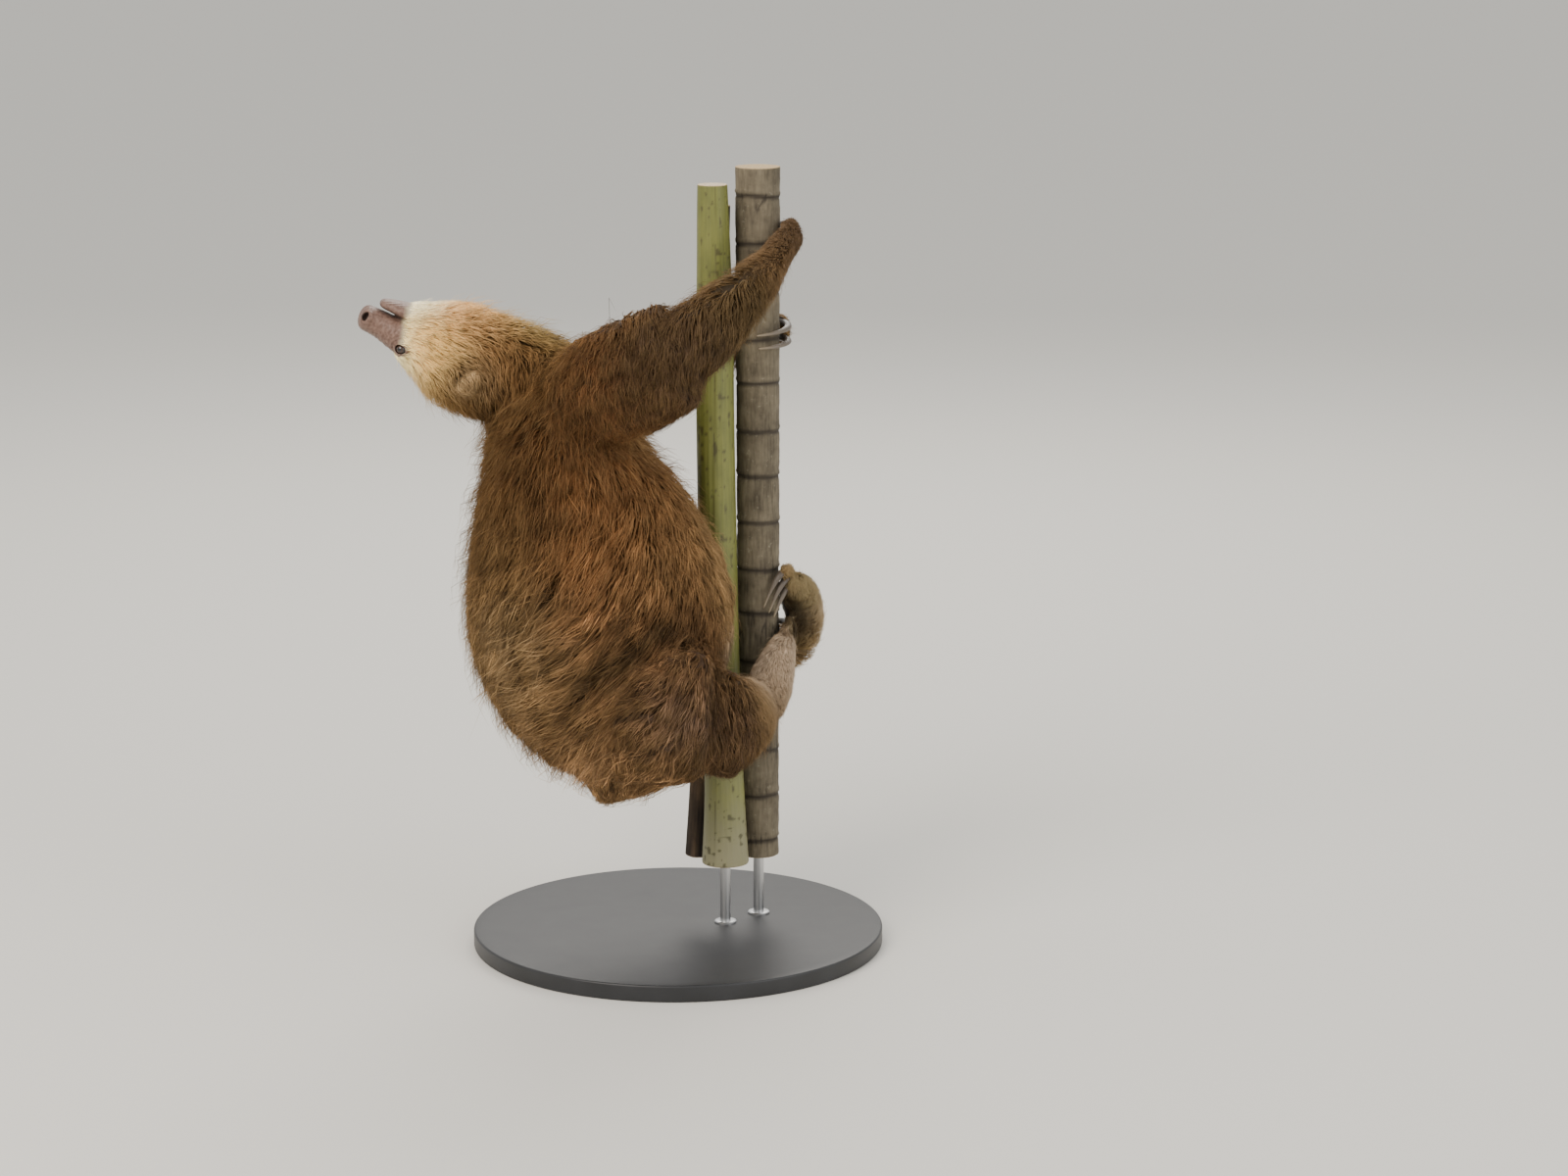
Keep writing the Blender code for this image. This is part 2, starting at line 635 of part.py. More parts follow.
def build_extremity(name, plan, limb_cutter, stem_cutters):
    """A hand or foot with its digits, and each claw as a node of its own set into its digit."""
    palm = Loft(plan["rows"], plan["side"], 5, 10)
    course = (plan["claw_orbit"], plan["claw_droop"])
    obj = add_object(name, palm.mesh(name, *PALM_DOMES), "foot")
    boolean(obj, limb_cutter)
    for number, claw in enumerate(plan["claws"], 1):
        digit_name = f"join_{name}_digit_{number}"
        digit = Loft(digit_rows(claw, *course), (0, 0, 1), 4, 7, dome_steps=1)
        boolean(obj, add_object(digit_name, digit.mesh(digit_name, DIGIT_DOME, DIGIT_DOME), None), "UNION")
    for cutter in stem_cutters:
        boolean(obj, cutter)
    for number, claw in enumerate(plan["claws"], 1):
        rows = claw_rows(claw, *course)
        claw_name = f"claw_{name}_{number}"
        arc = Loft(rows, (0, 0, 1), 6, 7, dome_steps=1)
        add_object(claw_name, arc.mesh(claw_name, *CLAW_DOMES), "claw")
        grown = Loft(rows, (0, 0, 1), 6, 7, GAP, dome_steps=1)
        cutter_name = "cut_" + claw_name
        root, tip = CLAW_DOMES
        boolean(obj, add_object(cutter_name, grown.mesh(cutter_name, root + GAP, tip), None))


# ---- the whole model -----------------------------------------------------------------------------


def build():
    """Builds every node in order: perch and stand, then trunk, head, neck, limbs, hands and feet."""
    stems, stem_cutters = build_perch()
    build_stand(stems)
    head_pose = frame_matrix(OCCIPUT, NOSE_AIM, CROWN_AIM)
    head_cutter = build_head(head_pose)
    trunk_cutter = build_trunk(stem_cutters, head_cutter)
    neck_cutter = build_neck(trunk_cutter, head_pose)
    for (limb, pieces), (end, plan) in zip(LIMBS.items(), EXTREMITIES.items()):
        assert limb.split("_")[1] == end.split("_")[1], "a limb and its hand or foot must be on one side"
        limb_cutter = build_limb(pieces, [trunk_cutter, neck_cutter], stem_cutters)
        build_extremity(end, plan, limb_cutter, stem_cutters)


clear_scene()
MODEL = new_collection("two_toed_sloth")
CUTTERS = new_collection("cutters")
build()
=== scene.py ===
"""Looks of a still, life-size two-toed sloth that hugs a cut length of clumping palm on a display stand.

The CAD solids reach out to the tips of the coat, so the flesh is worked out inside them: the solids are
melted into one envelope, which is drawn in by the coat's depth, and a finer head is joined on. The coat is
solid tufts rooted on that skin. Lengths are in metres, apart from tables that say millimetres.
World axes: +X towards the stems, -Y towards the animal's right flank, +Z up.
"""

from __future__ import annotations

import logging
import math
from dataclasses import dataclass, field, fields
from enum import Enum
from functools import partial
from typing import Callable, Iterator, Sequence

import bmesh
import bpy
import numpy as np
from bpy.types import Material, Mesh, Node, NodeSocket, NodeTree, Object
from mathutils import Euler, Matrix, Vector
from mathutils.bvhtree import BVHTree
from mathutils.kdtree import KDTree

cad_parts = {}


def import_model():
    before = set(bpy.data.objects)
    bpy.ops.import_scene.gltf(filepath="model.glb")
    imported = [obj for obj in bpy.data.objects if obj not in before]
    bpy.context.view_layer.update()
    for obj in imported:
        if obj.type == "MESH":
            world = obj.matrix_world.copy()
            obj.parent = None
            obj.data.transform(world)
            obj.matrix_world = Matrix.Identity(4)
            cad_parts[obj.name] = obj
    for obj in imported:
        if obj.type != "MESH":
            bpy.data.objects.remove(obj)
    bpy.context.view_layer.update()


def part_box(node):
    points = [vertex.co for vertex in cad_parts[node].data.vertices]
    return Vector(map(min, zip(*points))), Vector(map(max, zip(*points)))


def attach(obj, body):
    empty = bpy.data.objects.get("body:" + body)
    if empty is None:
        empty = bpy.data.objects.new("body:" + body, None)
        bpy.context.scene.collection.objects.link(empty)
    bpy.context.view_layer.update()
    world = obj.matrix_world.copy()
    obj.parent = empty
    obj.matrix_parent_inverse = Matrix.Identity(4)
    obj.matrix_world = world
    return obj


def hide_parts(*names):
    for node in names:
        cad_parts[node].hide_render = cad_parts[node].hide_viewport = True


Array = np.ndarray
Pair = tuple[float, float]
Triple = tuple[float, float, float]
Quad = tuple[float, float, float, float]
MM = 0.001
SEED = 20
BODY = "root"
LOG = logging.getLogger("sloth")


class Side(Enum):
    """The animal's own right and left, as the sign of its sideways axis."""

    RIGHT = -1
    LEFT = 1

    @property
    def label(self) -> str:
        """The side's word in CAD node names."""
        return self.name.lower()


class Surface(Enum):
    """The ways one closed mesh is combined with another."""

    JOIN = "UNION"
    CUT = "DIFFERENCE"


# ---- numbers and noise ----


def linear(hex_colour: str) -> Quad:
    """Turns an sRGB hex colour to linear RGBA."""
    values = [int(hex_colour[i : i + 2], 16) / 255 for i in (0, 2, 4)]
    return (*[v / 12.92 if v <= 0.04045 else ((v + 0.055) / 1.055) ** 2.4 for v in values], 1.0)


def unit(vectors: Array) -> Array:
    """Scales each row to length one."""
    return vectors / np.maximum(np.linalg.norm(vectors, axis=-1, keepdims=True), 1e-12)


def bell(values: Array) -> Array:
    """A hump: exp(-x^2)."""
    return np.exp(-(values**2))


def full_turn(count: int) -> Array:
    """Even angles round a full turn, in radians."""
    return np.linspace(0, 2 * math.pi, count, endpoint=False)


def smooth_step(low: float, high: float, values: Array) -> Array:
    """Rises from 0 at low to 1 at high as 3t^2 - 2t^3."""
    t = np.clip((values - low) / (high - low), 0.0, 1.0)
    return t * t * (3.0 - 2.0 * t)


def lattice_corners(base: Array, share: Array) -> Iterator[tuple[Array, Array]]:
    """The eight lattice points round each place and their weights: the product of share, or of 1 - share."""
    for corner in np.ndindex(2, 2, 2):
        yield (base + corner).T, np.prod(np.where(corner, share, 1.0 - share), axis=1)


def lattice_noise(points: Array, cell: float, seed: int) -> Array:
    """Smooth noise between -1 and 1: random values on a cubic lattice, blended by smooth steps.

    Args:
        points: Places, one per row.
        cell: The lattice's spacing.
        seed: Picks the random values.

    Returns:
        One value per point.
    """
    table = np.random.default_rng(seed).uniform(-1.0, 1.0, (32, 32, 32))
    scaled = points / cell
    base = np.floor(scaled).astype(int)
    total = np.zeros(len(points))
    for near, weight in lattice_corners(base, smooth_step(0.0, 1.0, scaled - base)):
        total += weight * table[tuple(near % 32)]
    return total


def curve_rows(rows: Sequence[Sequence[float]], count: int) -> Array:
    """Catmull-Rom curve through rows of numbers, sampled at even steps of its parameter.

    Args:
        rows: The numbers that the curve passes through.
        count: How many samples to take.

    Returns:
        One row per sample.
    """
    table = np.array(rows, float)
    padded = np.vstack([2 * table[0] - table[1], table, 2 * table[-1] - table[-2]])
    at = np.linspace(0, len(table) - 1, count)
    span = np.minimum(at.astype(int), len(table) - 2)
    t = (at - span)[:, None]
    p0, p1, p2, p3 = (padded[span + k] for k in range(4))
    return 0.5 * (
        2 * p1 + (p2 - p0) * t + (2 * p0 - 5 * p1 + 4 * p2 - p3) * t**2 + (3 * p1 - p0 - 3 * p2 + p3) * t**3
    )


# ---- meshes as arrays ----


def new_object(name: str, points: Array, faces: Sequence[Array]) -> Object:
    """Makes a mesh object from arrays.

    Args:
        name: The object's name.
        points: Corner places in metres, one per row.
        faces: Arrays of corner numbers, each with one face size.

    Returns:
        The object, linked to the scene, with smooth shading.
    """
    mesh = bpy.data.meshes.new(name)
    loops = np.concatenate([block.ravel() for block in faces]).astype(np.int32)
    sizes = np.concatenate([np.full(len(block), block.shape[1]) for block in faces])
    mesh.vertices.add(len(points))
    mesh.vertices.foreach_set("co", np.asarray(points, np.float32).ravel())
    mesh.loops.add(len(loops))
    mesh.loops.foreach_set("vertex_index", loops)
    mesh.polygons.add(len(sizes))
    mesh.polygons.foreach_set("loop_start", (np.cumsum(sizes) - sizes).astype(np.int32))
    mesh.update(calc_edges=True)
    mesh.shade_smooth()
    return link_mesh(name, mesh)


def link_mesh(name: str, mesh: Mesh) -> Object:
    """Puts a mesh in the scene as an object at the origin."""
    obj = bpy.data.objects.new(name, mesh)
    bpy.context.scene.collection.objects.link(obj)
    return obj


def discard(*objects: Object) -> None:
    """Removes helper objects and their meshes."""
    for obj in objects:
        mesh = obj.data
        bpy.data.objects.remove(obj)
        bpy.data.meshes.remove(mesh)


def read_all(items: bpy.types.bpy_prop_collection, key: str, width: int, kind: type = np.float32) -> Array:
    """One property of every item, as rows of `width` numbers."""
    values = np.empty(len(items) * width, kind)
    items.foreach_get(key, values)
    return values.reshape(-1, width)


def corners_of(mesh: Mesh) -> Array:
    """Corner places, one per row."""
    return read_all(mesh.vertices, "co", 3).astype(float)


def set_corners(mesh: Mesh, points: Array) -> None:
    """Moves every corner to a new place."""
    mesh.vertices.foreach_set("co", np.asarray(points, np.float32).ravel())
    mesh.update()


def normals_of(mesh: Mesh) -> Array:
    """Outward direction at each corner."""
    return read_all(mesh.vertex_normals, "vector", 3).astype(float)


def edges_of(mesh: Mesh) -> Array:
    """Pairs of corner numbers, one per edge."""
    return read_all(mesh.edges, "vertices", 2, np.int32)


def relax(points: Array, edges: Array, steps: int, strength: float | Array) -> Array:
    """Moves each corner towards the mean of its neighbours, again and again.

    Args:
        points: Corner places.
        edges: Pairs of neighbours.
        steps: How often to do it.
        strength: The share of the way to go each time, for all corners or one for each.

    Returns:
        The new places.
    """
    count = len(points)
    degree = np.maximum(np.bincount(edges.ravel(), minlength=count), 1)[:, None]
    moved = points.copy()
    for _ in range(steps):
        total = np.stack(
            [
                np.bincount(edges[:, 0], moved[edges[:, 1], axis], count)
                + np.bincount(edges[:, 1], moved[edges[:, 0], axis], count)
                for axis in range(3)
            ],
            axis=1,
        )
        moved += strength * (total / degree - moved)
    return moved


def ease(points: Array, edges: Array, steps: int) -> Array:
    """Smooths without shrinking: each step relaxes by a half, then goes back by a little more."""
    for _ in range(steps):
        points = relax(relax(points, edges, 1, 0.5), edges, 1, -0.52)
    return points


def finished_mesh(obj: Object) -> Mesh:
    """A new mesh of the object with its modifiers applied."""
    graph = bpy.context.evaluated_depsgraph_get()
    return bpy.data.meshes.new_from_object(obj.evaluated_get(graph))


def apply_modifiers(obj: Object) -> None:
    """Makes the object's modifiers part of its mesh."""
    mesh = finished_mesh(obj)
    obj.modifiers.clear()
    old, obj.data = obj.data, mesh
    bpy.data.meshes.remove(old)


def combine(obj: Object, others: Sequence[Object], how: Surface) -> None:
    """Joins closed meshes onto an object or cuts them out of it, and discards them."""
    for other in others:
        modifier = obj.modifiers.new(how.name, "BOOLEAN")
        modifier.operation = how.value
        modifier.solver = "MANIFOLD"
        modifier.object = other
    apply_modifiers(obj)
    discard(*others)


def melt(obj: Object, cell: float) -> None:
    """Rebuilds a closed mesh, or several that overlap, as one even skin of small squares."""
    modifier = obj.modifiers.new("Even_skin", "REMESH")
    modifier.mode = "VOXEL"
    modifier.voxel_size = cell
    modifier.use_smooth_shade = True
    apply_modifiers(obj)


def grid_quads(rows: int, columns: int, closed: bool = True) -> Array:
    """Squares between rows of corners. A closed grid's last column meets its first."""
    across = np.arange(columns if closed else columns - 1)
    i = np.arange(rows - 1)[:, None] * columns
    j = (across + 1) % columns
    return np.stack([i + across, i + j, i + columns + j, i + columns + across], axis=-1).reshape(-1, 4)


def closed_tube(name: str, rings: Array) -> Object:
    """A closed skin over rings of corners, with a fan of triangles at each end.

    Args:
        name: The object's name.
        rings: Places as ring, corner, axis, in metres.

    Returns:
        The object, with its faces outward.
    """
    rows, columns = rings.shape[:2]
    points = np.vstack([rings.reshape(-1, 3), rings[0].mean(0), rings[-1].mean(0)])
    around = np.arange(columns)
    after = (around + 1) % columns
    first = np.stack([after, around, np.full(columns, rows * columns)], axis=1)
    last = (rows - 1) * columns
    second = np.stack([last + around, last + after, np.full(columns, rows * columns + 1)], axis=1)
    obj = new_object(name, points, [grid_quads(rows, columns), first, second])
    face_outward(obj)
    return obj


def face_outward(obj: Object) -> None:
    """Turns a closed mesh's faces outward."""
    work = bmesh.new()
    work.from_mesh(obj.data)
    bmesh.ops.recalc_face_normals(work, faces=work.faces)
    work.to_mesh(obj.data)
    work.free()


def dress(obj: Object, material: Material) -> None:
    """Gives the whole object one material."""
    obj.data.materials.clear()
    obj.data.materials.append(material)
    obj.data.polygons.foreach_set("material_index", np.zeros(len(obj.data.polygons), np.int32))


def put_attribute(mesh: Mesh, name: str, values: Array) -> None:
    """Stores one number, or one linear colour, at each corner."""
    values = np.asarray(values, np.float32)
    if values.ndim == 1:
        mesh.attributes.new(name, "FLOAT", "POINT").data.foreach_set("value", values)
        return
    opaque = np.hstack([values[:, :3], np.ones((len(values), 1), np.float32)])
    mesh.attributes.new(name, "FLOAT_COLOR", "POINT").data.foreach_set("color", opaque.ravel())


# ---- the head's own frame ----


def box_of(node: str) -> tuple[Array, Array]:
    """A CAD node's lowest and highest corner, in metres."""
    low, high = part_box(node)
    return np.array(low), np.array(high)


def upright_turn(degrees: float) -> Array:
    """Rows of the axes after a turn about the upright one."""
    turn = math.radians(degrees)
    return np.array([[math.cos(turn), math.sin(turn), 0], [-math.sin(turn), math.cos(turn), 0], [0, 0, 1]])


@dataclass(frozen=True)
class HeadFrame:
    """Axes of the head in millimetres: x from the occiput to the nose, y to its left, z to its crown.
    Places that both sides share are given on the left."""

    origin: Array
    axes: Array
    eye_at: Triple = (82.0, 21.5, 8.5)
    ear_line: Pair = (22.0, 8.5)  # x and z of the line between the ears
    lip_height: float = -15.6  # z of the mouth's line

    @classmethod
    def from_cad(cls) -> HeadFrame:
        """Finds the frame from the places of the CAD eyes and ears."""
        middle = {}
        for name in ("eye_right", "eye_left", "ear_right", "ear_left"):
            low, high = box_of(name)
            middle[name] = (low + high) / 2
        eyes = (middle["eye_right"] + middle["eye_left"]) / 2
        ears = (middle["ear_right"] + middle["ear_left"]) / 2
        x = unit(eyes - ears)
        y = middle["ear_left"] - middle["ear_right"]
        y = unit(y - (y @ x) * x)
        z = np.cross(x, y)
        origin = ears - (cls.ear_line[0] * x + cls.ear_line[1] * z) * MM
        return cls(origin, np.array([x, y, z]))

    def to_world(self, points: Array) -> Array:
        """Turns places in the head's millimetres to the world's metres."""
        return self.origin + np.asarray(points) * MM @ self.axes

    def to_head(self, points: Array) -> Array:
        """Turns places in the world's metres to the head's millimetres."""
        return (np.asarray(points) - self.origin) @ self.axes.T / MM

    @staticmethod
    def on(side: Side, place: Sequence[float]) -> Array:
        """A place on one side, from the same place on the left."""
        return np.array(place) * (1.0, side.value, 1.0)

    def from_eye(self, head: Array, side: Side) -> Array:
        """Distance of places in the head's millimetres from the middle of one eye."""
        return np.linalg.norm(head - self.on(side, self.eye_at), axis=1)


# ---- the coat's plan ----


def place_in(node: str, share: Sequence[float]) -> Array:
    """A place given as a share of a CAD node's box along each axis."""
    low, high = box_of(node)
    return low + np.array(share) * (high - low)


@dataclass(frozen=True)
class CoatPatch:
    """How the coat grows around one place. Depth, length and reach are in millimetres."""

    node: str
    at: Triple
    flow: Triple
    depth: float
    length: float
    colour: str
    reach: float = 50.0
    strength: float = 1.0

    def place(self) -> Array:
        """The patch's middle: a share of its CAD node's box along each axis."""
        return place_in(self.node, self.at)

    def mirrored(self) -> CoatPatch:
        """The same patch on the animal's other side."""
        node = self.node.replace("_right", "_left")
        at = (self.at[0], 1.0 - self.at[1], self.at[2])
        flow = (self.flow[0], -self.flow[1], self.flow[2])
        return CoatPatch(node, at, flow, self.depth, self.length, self.colour, self.reach, self.strength)


PAIRED_PATCHES = (
    CoatPatch("trunk", (0.28, 0.12, 0.93), (-0.15, -0.1, -1.0), 21, 36, "51341a"),
    CoatPatch("trunk", (0.50, 0.02, 0.80), (-0.05, 0.0, -1.0), 21, 40, "57371e"),
    CoatPatch("trunk", (0.15, 0.15, 0.75), (-0.05, 0.0, -1.0), 23, 42, "4a3017"),
    CoatPatch("trunk", (0.78, 0.12, 0.74), (-0.10, 0.0, -1.0), 18, 36, "5b3d22"),
    CoatPatch("trunk", (0.50, 0.00, 0.60), (-0.20, 0.0, -1.0), 21, 40, "5c3c22"),
    CoatPatch("trunk", (0.85, 0.12, 0.55), (-0.35, -0.1, -0.95), 14, 32, "6e5032"),
    CoatPatch("trunk", (0.10, 0.20, 0.55), (-0.20, 0.0, -1.0), 24, 44, "563f25"),
    CoatPatch("trunk", (0.52, 0.00, 0.42), (-0.75, 0.0, -0.66), 22, 42, "563c26"),
    CoatPatch("trunk", (0.85, 0.10, 0.40), (-0.62, -0.1, -0.75), 15, 34, "4f3520"),
    CoatPatch("trunk", (0.15, 0.15, 0.34), (-0.90, 0.05, -0.50), 24, 46, "705b40"),
    CoatPatch("trunk", (0.36, 0.05, 0.22), (-0.88, 0.0, -0.50), 23, 44, "5a432b"),
    CoatPatch("trunk", (0.55, 0.20, 0.05), (-0.35, 0.0, -0.95), 22, 40, "8e6c4c"),
    CoatPatch("neck", (0.50, 0.00, 0.50), (0.10, -0.05, -1.0), 19, 36, "634828", 38),
    CoatPatch("head", (0.42, 0.05, 0.62), (1.0, -0.05, -0.30), 9, 20, "cda265", 30),
    CoatPatch("head", (0.12, 0.22, 0.62), (1.0, -0.10, -0.10), 5, 9, "cbbc9b", 24),
    CoatPatch("head", (0.74, 0.02, 0.35), (0.6, -0.10, -0.80), 15, 27, "ac906d", 22),
    CoatPatch("head", (1.00, 0.10, 0.45), (0.3, -0.10, -0.95), 17, 30, "6d4c2d", 22, 1.6),
    # Darkened as painted shade: the small ear sits in the shadow of the fur round it.
    CoatPatch("ear_right", (0.50, 0.40, 0.50), (0.6, -0.10, -0.80), 15, 11, "634d32", 12, 4.0),
    CoatPatch("head", (0.85, 0.20, 0.85), (0.8, -0.30, -0.50), 13, 26, "a98256", 30),
    CoatPatch("upper_arm_right", (0.25, 0.30, 0.40), (-0.05, -0.10, -1.0), 19, 38, "472c17", 42),
    CoatPatch("upper_arm_right", (0.80, 0.05, 0.35), (0.10, 0.0, -1.0), 18, 36, "342417", 42),
    CoatPatch("upper_arm_right", (0.70, 0.45, 1.00), (0.25, -0.60, -0.60), 17, 32, "54391f", 36),
    CoatPatch("forearm_right", (0.25, 0.10, 0.15), (-0.20, -0.05, -1.0), 18, 36, "32251a", 42),
    CoatPatch("forearm_right", (0.60, 0.40, 0.50), (-0.55, -0.10, -0.85), 14, 32, "3d2f1c", 38),
    CoatPatch("forearm_right", (0.92, 0.85, 0.90), (-0.60, -0.25, -0.60), 8, 18, "54402a", 28),
    CoatPatch("hand_right", (0.50, 0.30, 0.60), (-0.30, -0.70, -0.30), 4, 10, "4b3a29", 26),
    CoatPatch("thigh_right", (0.05, 0.20, 0.55), (-0.85, 0.0, -0.55), 20, 42, "5e432b", 42),
    CoatPatch("thigh_right", (0.50, 0.00, 0.45), (-0.25, 0.0, -1.0), 19, 42, "4e3d33", 42),
    CoatPatch("thigh_right", (0.35, 0.30, 0.00), (-0.30, 0.0, -1.0), 20, 40, "6b4f33", 42),
    # Darkened as painted shade: the thigh's far end turns away from the light.
    CoatPatch("thigh_right", (0.95, 0.05, 0.75), (0.30, 0.0, -0.90), 15, 34, "3f2d1e", 36),
    CoatPatch("thigh_right", (0.74, 0.25, 0.95), (-0.10, -0.90, -0.45), 15, 30, "4c3725", 24, 2.0),
    CoatPatch("shank_right", (0.46, 0.14, 0.94), (0.25, -0.85, -0.50), 13, 26, "46331f", 20, 2.0),
    # Darkened as painted shade: the knee turns away from the light.
    CoatPatch("shank_right", (0.50, 0.10, 0.20), (0.30, -0.05, -0.95), 17, 36, "3c2b1e", 40),
    CoatPatch("shank_right", (0.95, 0.60, 0.55), (0.45, -0.25, -0.80), 10, 20, "5e4a31", 32),
    CoatPatch("foot_right", (0.60, 0.15, 0.55), (-0.10, -0.50, -0.80), 3, 8, "8b7a68", 32),
)
SINGLE_PATCHES = (
    CoatPatch("trunk", (0.05, 0.50, 0.80), (0.0, 0.0, -1.0), 24, 42, "452d12"),
    CoatPatch("trunk", (0.00, 0.50, 0.55), (0.0, 0.0, -1.0), 24, 44, "503920"),
    CoatPatch("trunk", (0.05, 0.50, 0.30), (-0.3, 0.0, -1.0), 24, 44, "5e4526"),
    CoatPatch("trunk", (0.25, 0.50, 0.08), (-0.4, 0.0, -0.95), 24, 42, "6a4f30"),
    CoatPatch("trunk", (0.60, 0.50, 0.00), (0.0, 0.0, -1.0), 20, 38, "6a5132"),
    CoatPatch("trunk", (0.95, 0.50, 0.50), (-0.2, 0.0, -1.0), 12, 28, "6e5638"),
    CoatPatch("trunk", (0.75, 0.50, 0.95), (0.3, 0.0, -0.9), 15, 30, "6a5132"),
    CoatPatch("neck", (0.60, 0.50, 1.00), (1.0, 0.0, -0.25), 14, 28, "8f784a", 34),
    CoatPatch("neck", (0.45, 0.50, 0.00), (0.4, 0.0, -0.9), 18, 34, "54391f", 36),
    CoatPatch("head", (0.30, 0.50, 1.00), (1.0, 0.0, 0.0), 8, 15, "cdbca2", 30),
    CoatPatch("head", (0.72, 0.50, 1.00), (1.0, 0.0, -0.1), 12, 24, "bd955f", 28),
    CoatPatch("head", (0.25, 0.50, 0.15), (1.0, 0.0, -0.4), 8, 15, "a58a5e", 28),
    CoatPatch("head", (0.65, 0.50, 0.00), (0.9, 0.0, -0.5), 17, 30, "86663e", 32),
    CoatPatch("muzzle", (0.95, 0.50, 0.50), (1.0, 0.0, 0.0), 1.2, 5, "ad8f6c", 14),
    CoatPatch("lower_jaw", (0.90, 0.50, 0.70), (1.0, 0.0, 0.0), 2.0, 6, "bfa888", 12),
    CoatPatch("foot_left", (0.60, 0.35, 0.75), (0.10, -0.60, 0.60), 5, 12, "746649", 26),
    CoatPatch("foot_left", (0.60, 0.75, 0.25), (0.10, -0.30, 0.90), 8, 18, "6a5839", 30),
    CoatPatch("hand_left", (0.60, 0.40, 0.60), (0.40, -0.50, 0.10), 4, 10, "6b5334", 24),
)


@dataclass(frozen=True)
class ShadeAndHighlightLine:
    """Painted shade along a fold of the coat, or a painted highlight along a crest, on a straight line
    between two places in a CAD node's box.
    """

    start: Triple
    end: Triple
    reach: float  # mm
    tone: float  # painted brightness on the line itself: below 1 is shade, above 1 is highlight
    node: str = "trunk"
    squash: Triple = (1.0, 0.35, 1.0)  # what each axis counts for

    def share(self, points: Array) -> Array:
        """How near the line each place is: exp(-(distance / reach)^2), with the axes squashed."""
        start, end = (place_in(self.node, place) * np.array(self.squash) for place in (self.start, self.end))
        along = end - start
        offset = points * np.array(self.squash) - start
        t = np.clip(offset @ along / (along @ along), 0, 1)
        gap = np.linalg.norm(offset - t[:, None] * along, axis=1)
        return bell(gap / (self.reach * MM))


SHADE_AND_HIGHLIGHT_LINES = (
    # painted shade in the crease between flank and thigh
    ShadeAndHighlightLine((0.47, 0.05, 0.30), (0.60, 0.05, 0.355), 8, 0.32),
    ShadeAndHighlightLine((0.60, 0.05, 0.355), (0.74, 0.05, 0.415), 9, 0.30),
    ShadeAndHighlightLine((0.74, 0.05, 0.415), (0.90, 0.05, 0.395), 9, 0.40),
    # painted shade in the folds down the flank and over the rump
    ShadeAndHighlightLine((0.38, 0.05, 0.23), (0.505, 0.05, 0.35), 8, 0.46),
    ShadeAndHighlightLine((0.27, 0.05, 0.32), (0.38, 0.05, 0.37), 8, 0.48),
    ShadeAndHighlightLine((0.24, 0.05, 0.46), (0.38, 0.05, 0.49), 10, 0.58),
    ShadeAndHighlightLine((0.11, 0.05, 0.61), (0.37, 0.05, 0.655), 13, 0.78),
    ShadeAndHighlightLine((0.82, 0.05, 0.50), (0.95, 0.05, 0.41), 14, 0.72),
    # painted shade in the folds on the thigh
    ShadeAndHighlightLine((0.59, 0.05, 0.264), (0.70, 0.05, 0.25), 19, 0.50),
    ShadeAndHighlightLine((0.79, 0.05, 0.21), (0.85, 0.05, 0.14), 13, 0.52),
    ShadeAndHighlightLine((0.35, 0.05, 0.21), (0.44, 0.05, 0.176), 10, 0.62),
    ShadeAndHighlightLine((0.64, 0.05, 0.18), (0.68, 0.05, 0.155), 9, 0.65),
    # painted highlights on crests of the coat
    ShadeAndHighlightLine((0.48, 0.05, 0.28), (0.58, 0.05, 0.246), 9, 1.35),
    ShadeAndHighlightLine((0.70, 0.05, 0.35), (0.79, 0.05, 0.316), 11, 1.32),
    ShadeAndHighlightLine((0.39, 0.05, 0.58), (0.48, 0.05, 0.51), 13, 1.22),
    ShadeAndHighlightLine((0.16, 0.05, 0.41), (0.31, 0.05, 0.43), 11, 1.14),
    ShadeAndHighlightLine((0.40, 0.05, 0.41), (0.60, 0.05, 0.465), 9, 1.25),
    ShadeAndHighlightLine((0.14, 0.05, 0.30), (0.27, 0.05, 0.26), 10, 1.08),
    # painted shadow in the hollow under the lifted sole's edge, over the sole's own dark skin
    ShadeAndHighlightLine((0.12, 0.35, 0.60), (0.40, 0.35, 0.32), 13, 0.12, "foot_left"),
)


@dataclass
class CoatPlan:
    """Blends the patches: a place takes from each by exp(-(distance / reach)^2)."""

    gain: Triple = (1.66, 1.74, 1.80)  # makes up for the shade that hair casts on itself
    palest: float = 0.90
    places: Array = field(init=False)
    reaches: Array = field(init=False)
    strengths: Array = field(init=False)
    table: Array = field(init=False)

    def __post_init__(self) -> None:
        """Lays the patches out, the paired ones on both sides."""
        patches = [*SINGLE_PATCHES, *PAIRED_PATCHES, *(patch.mirrored() for patch in PAIRED_PATCHES)]
        self.places = np.array([patch.place() for patch in patches])
        self.reaches = np.array([patch.reach for patch in patches]) * MM
        self.strengths = np.array([patch.strength for patch in patches])
        flow = unit(np.array([patch.flow for patch in patches]))
        sizes = np.array([[patch.depth * MM, patch.length * MM] for patch in patches])
        colour = np.array([linear(patch.colour)[:3] for patch in patches])
        self.table = np.hstack([flow, sizes, np.minimum(colour * self.gain, self.palest)])

    def at(self, points: Array) -> Array:
        """Reads the plan.

        Args:
            points: Places in metres.

        Returns:
            Rows of flow (3), depth, length and linear colour (3).
        """
        rows = []
        for block in np.array_split(points, max(1, len(points) // 40000)):
            gap = np.linalg.norm(block[:, None] - self.places[None], axis=2)
            weight = bell(gap / self.reaches) * self.strengths + 1e-9 / (gap + 0.01)
            rows.append(weight @ self.table / weight.sum(1, keepdims=True))
        return np.vstack(rows)


# ---- skin ----


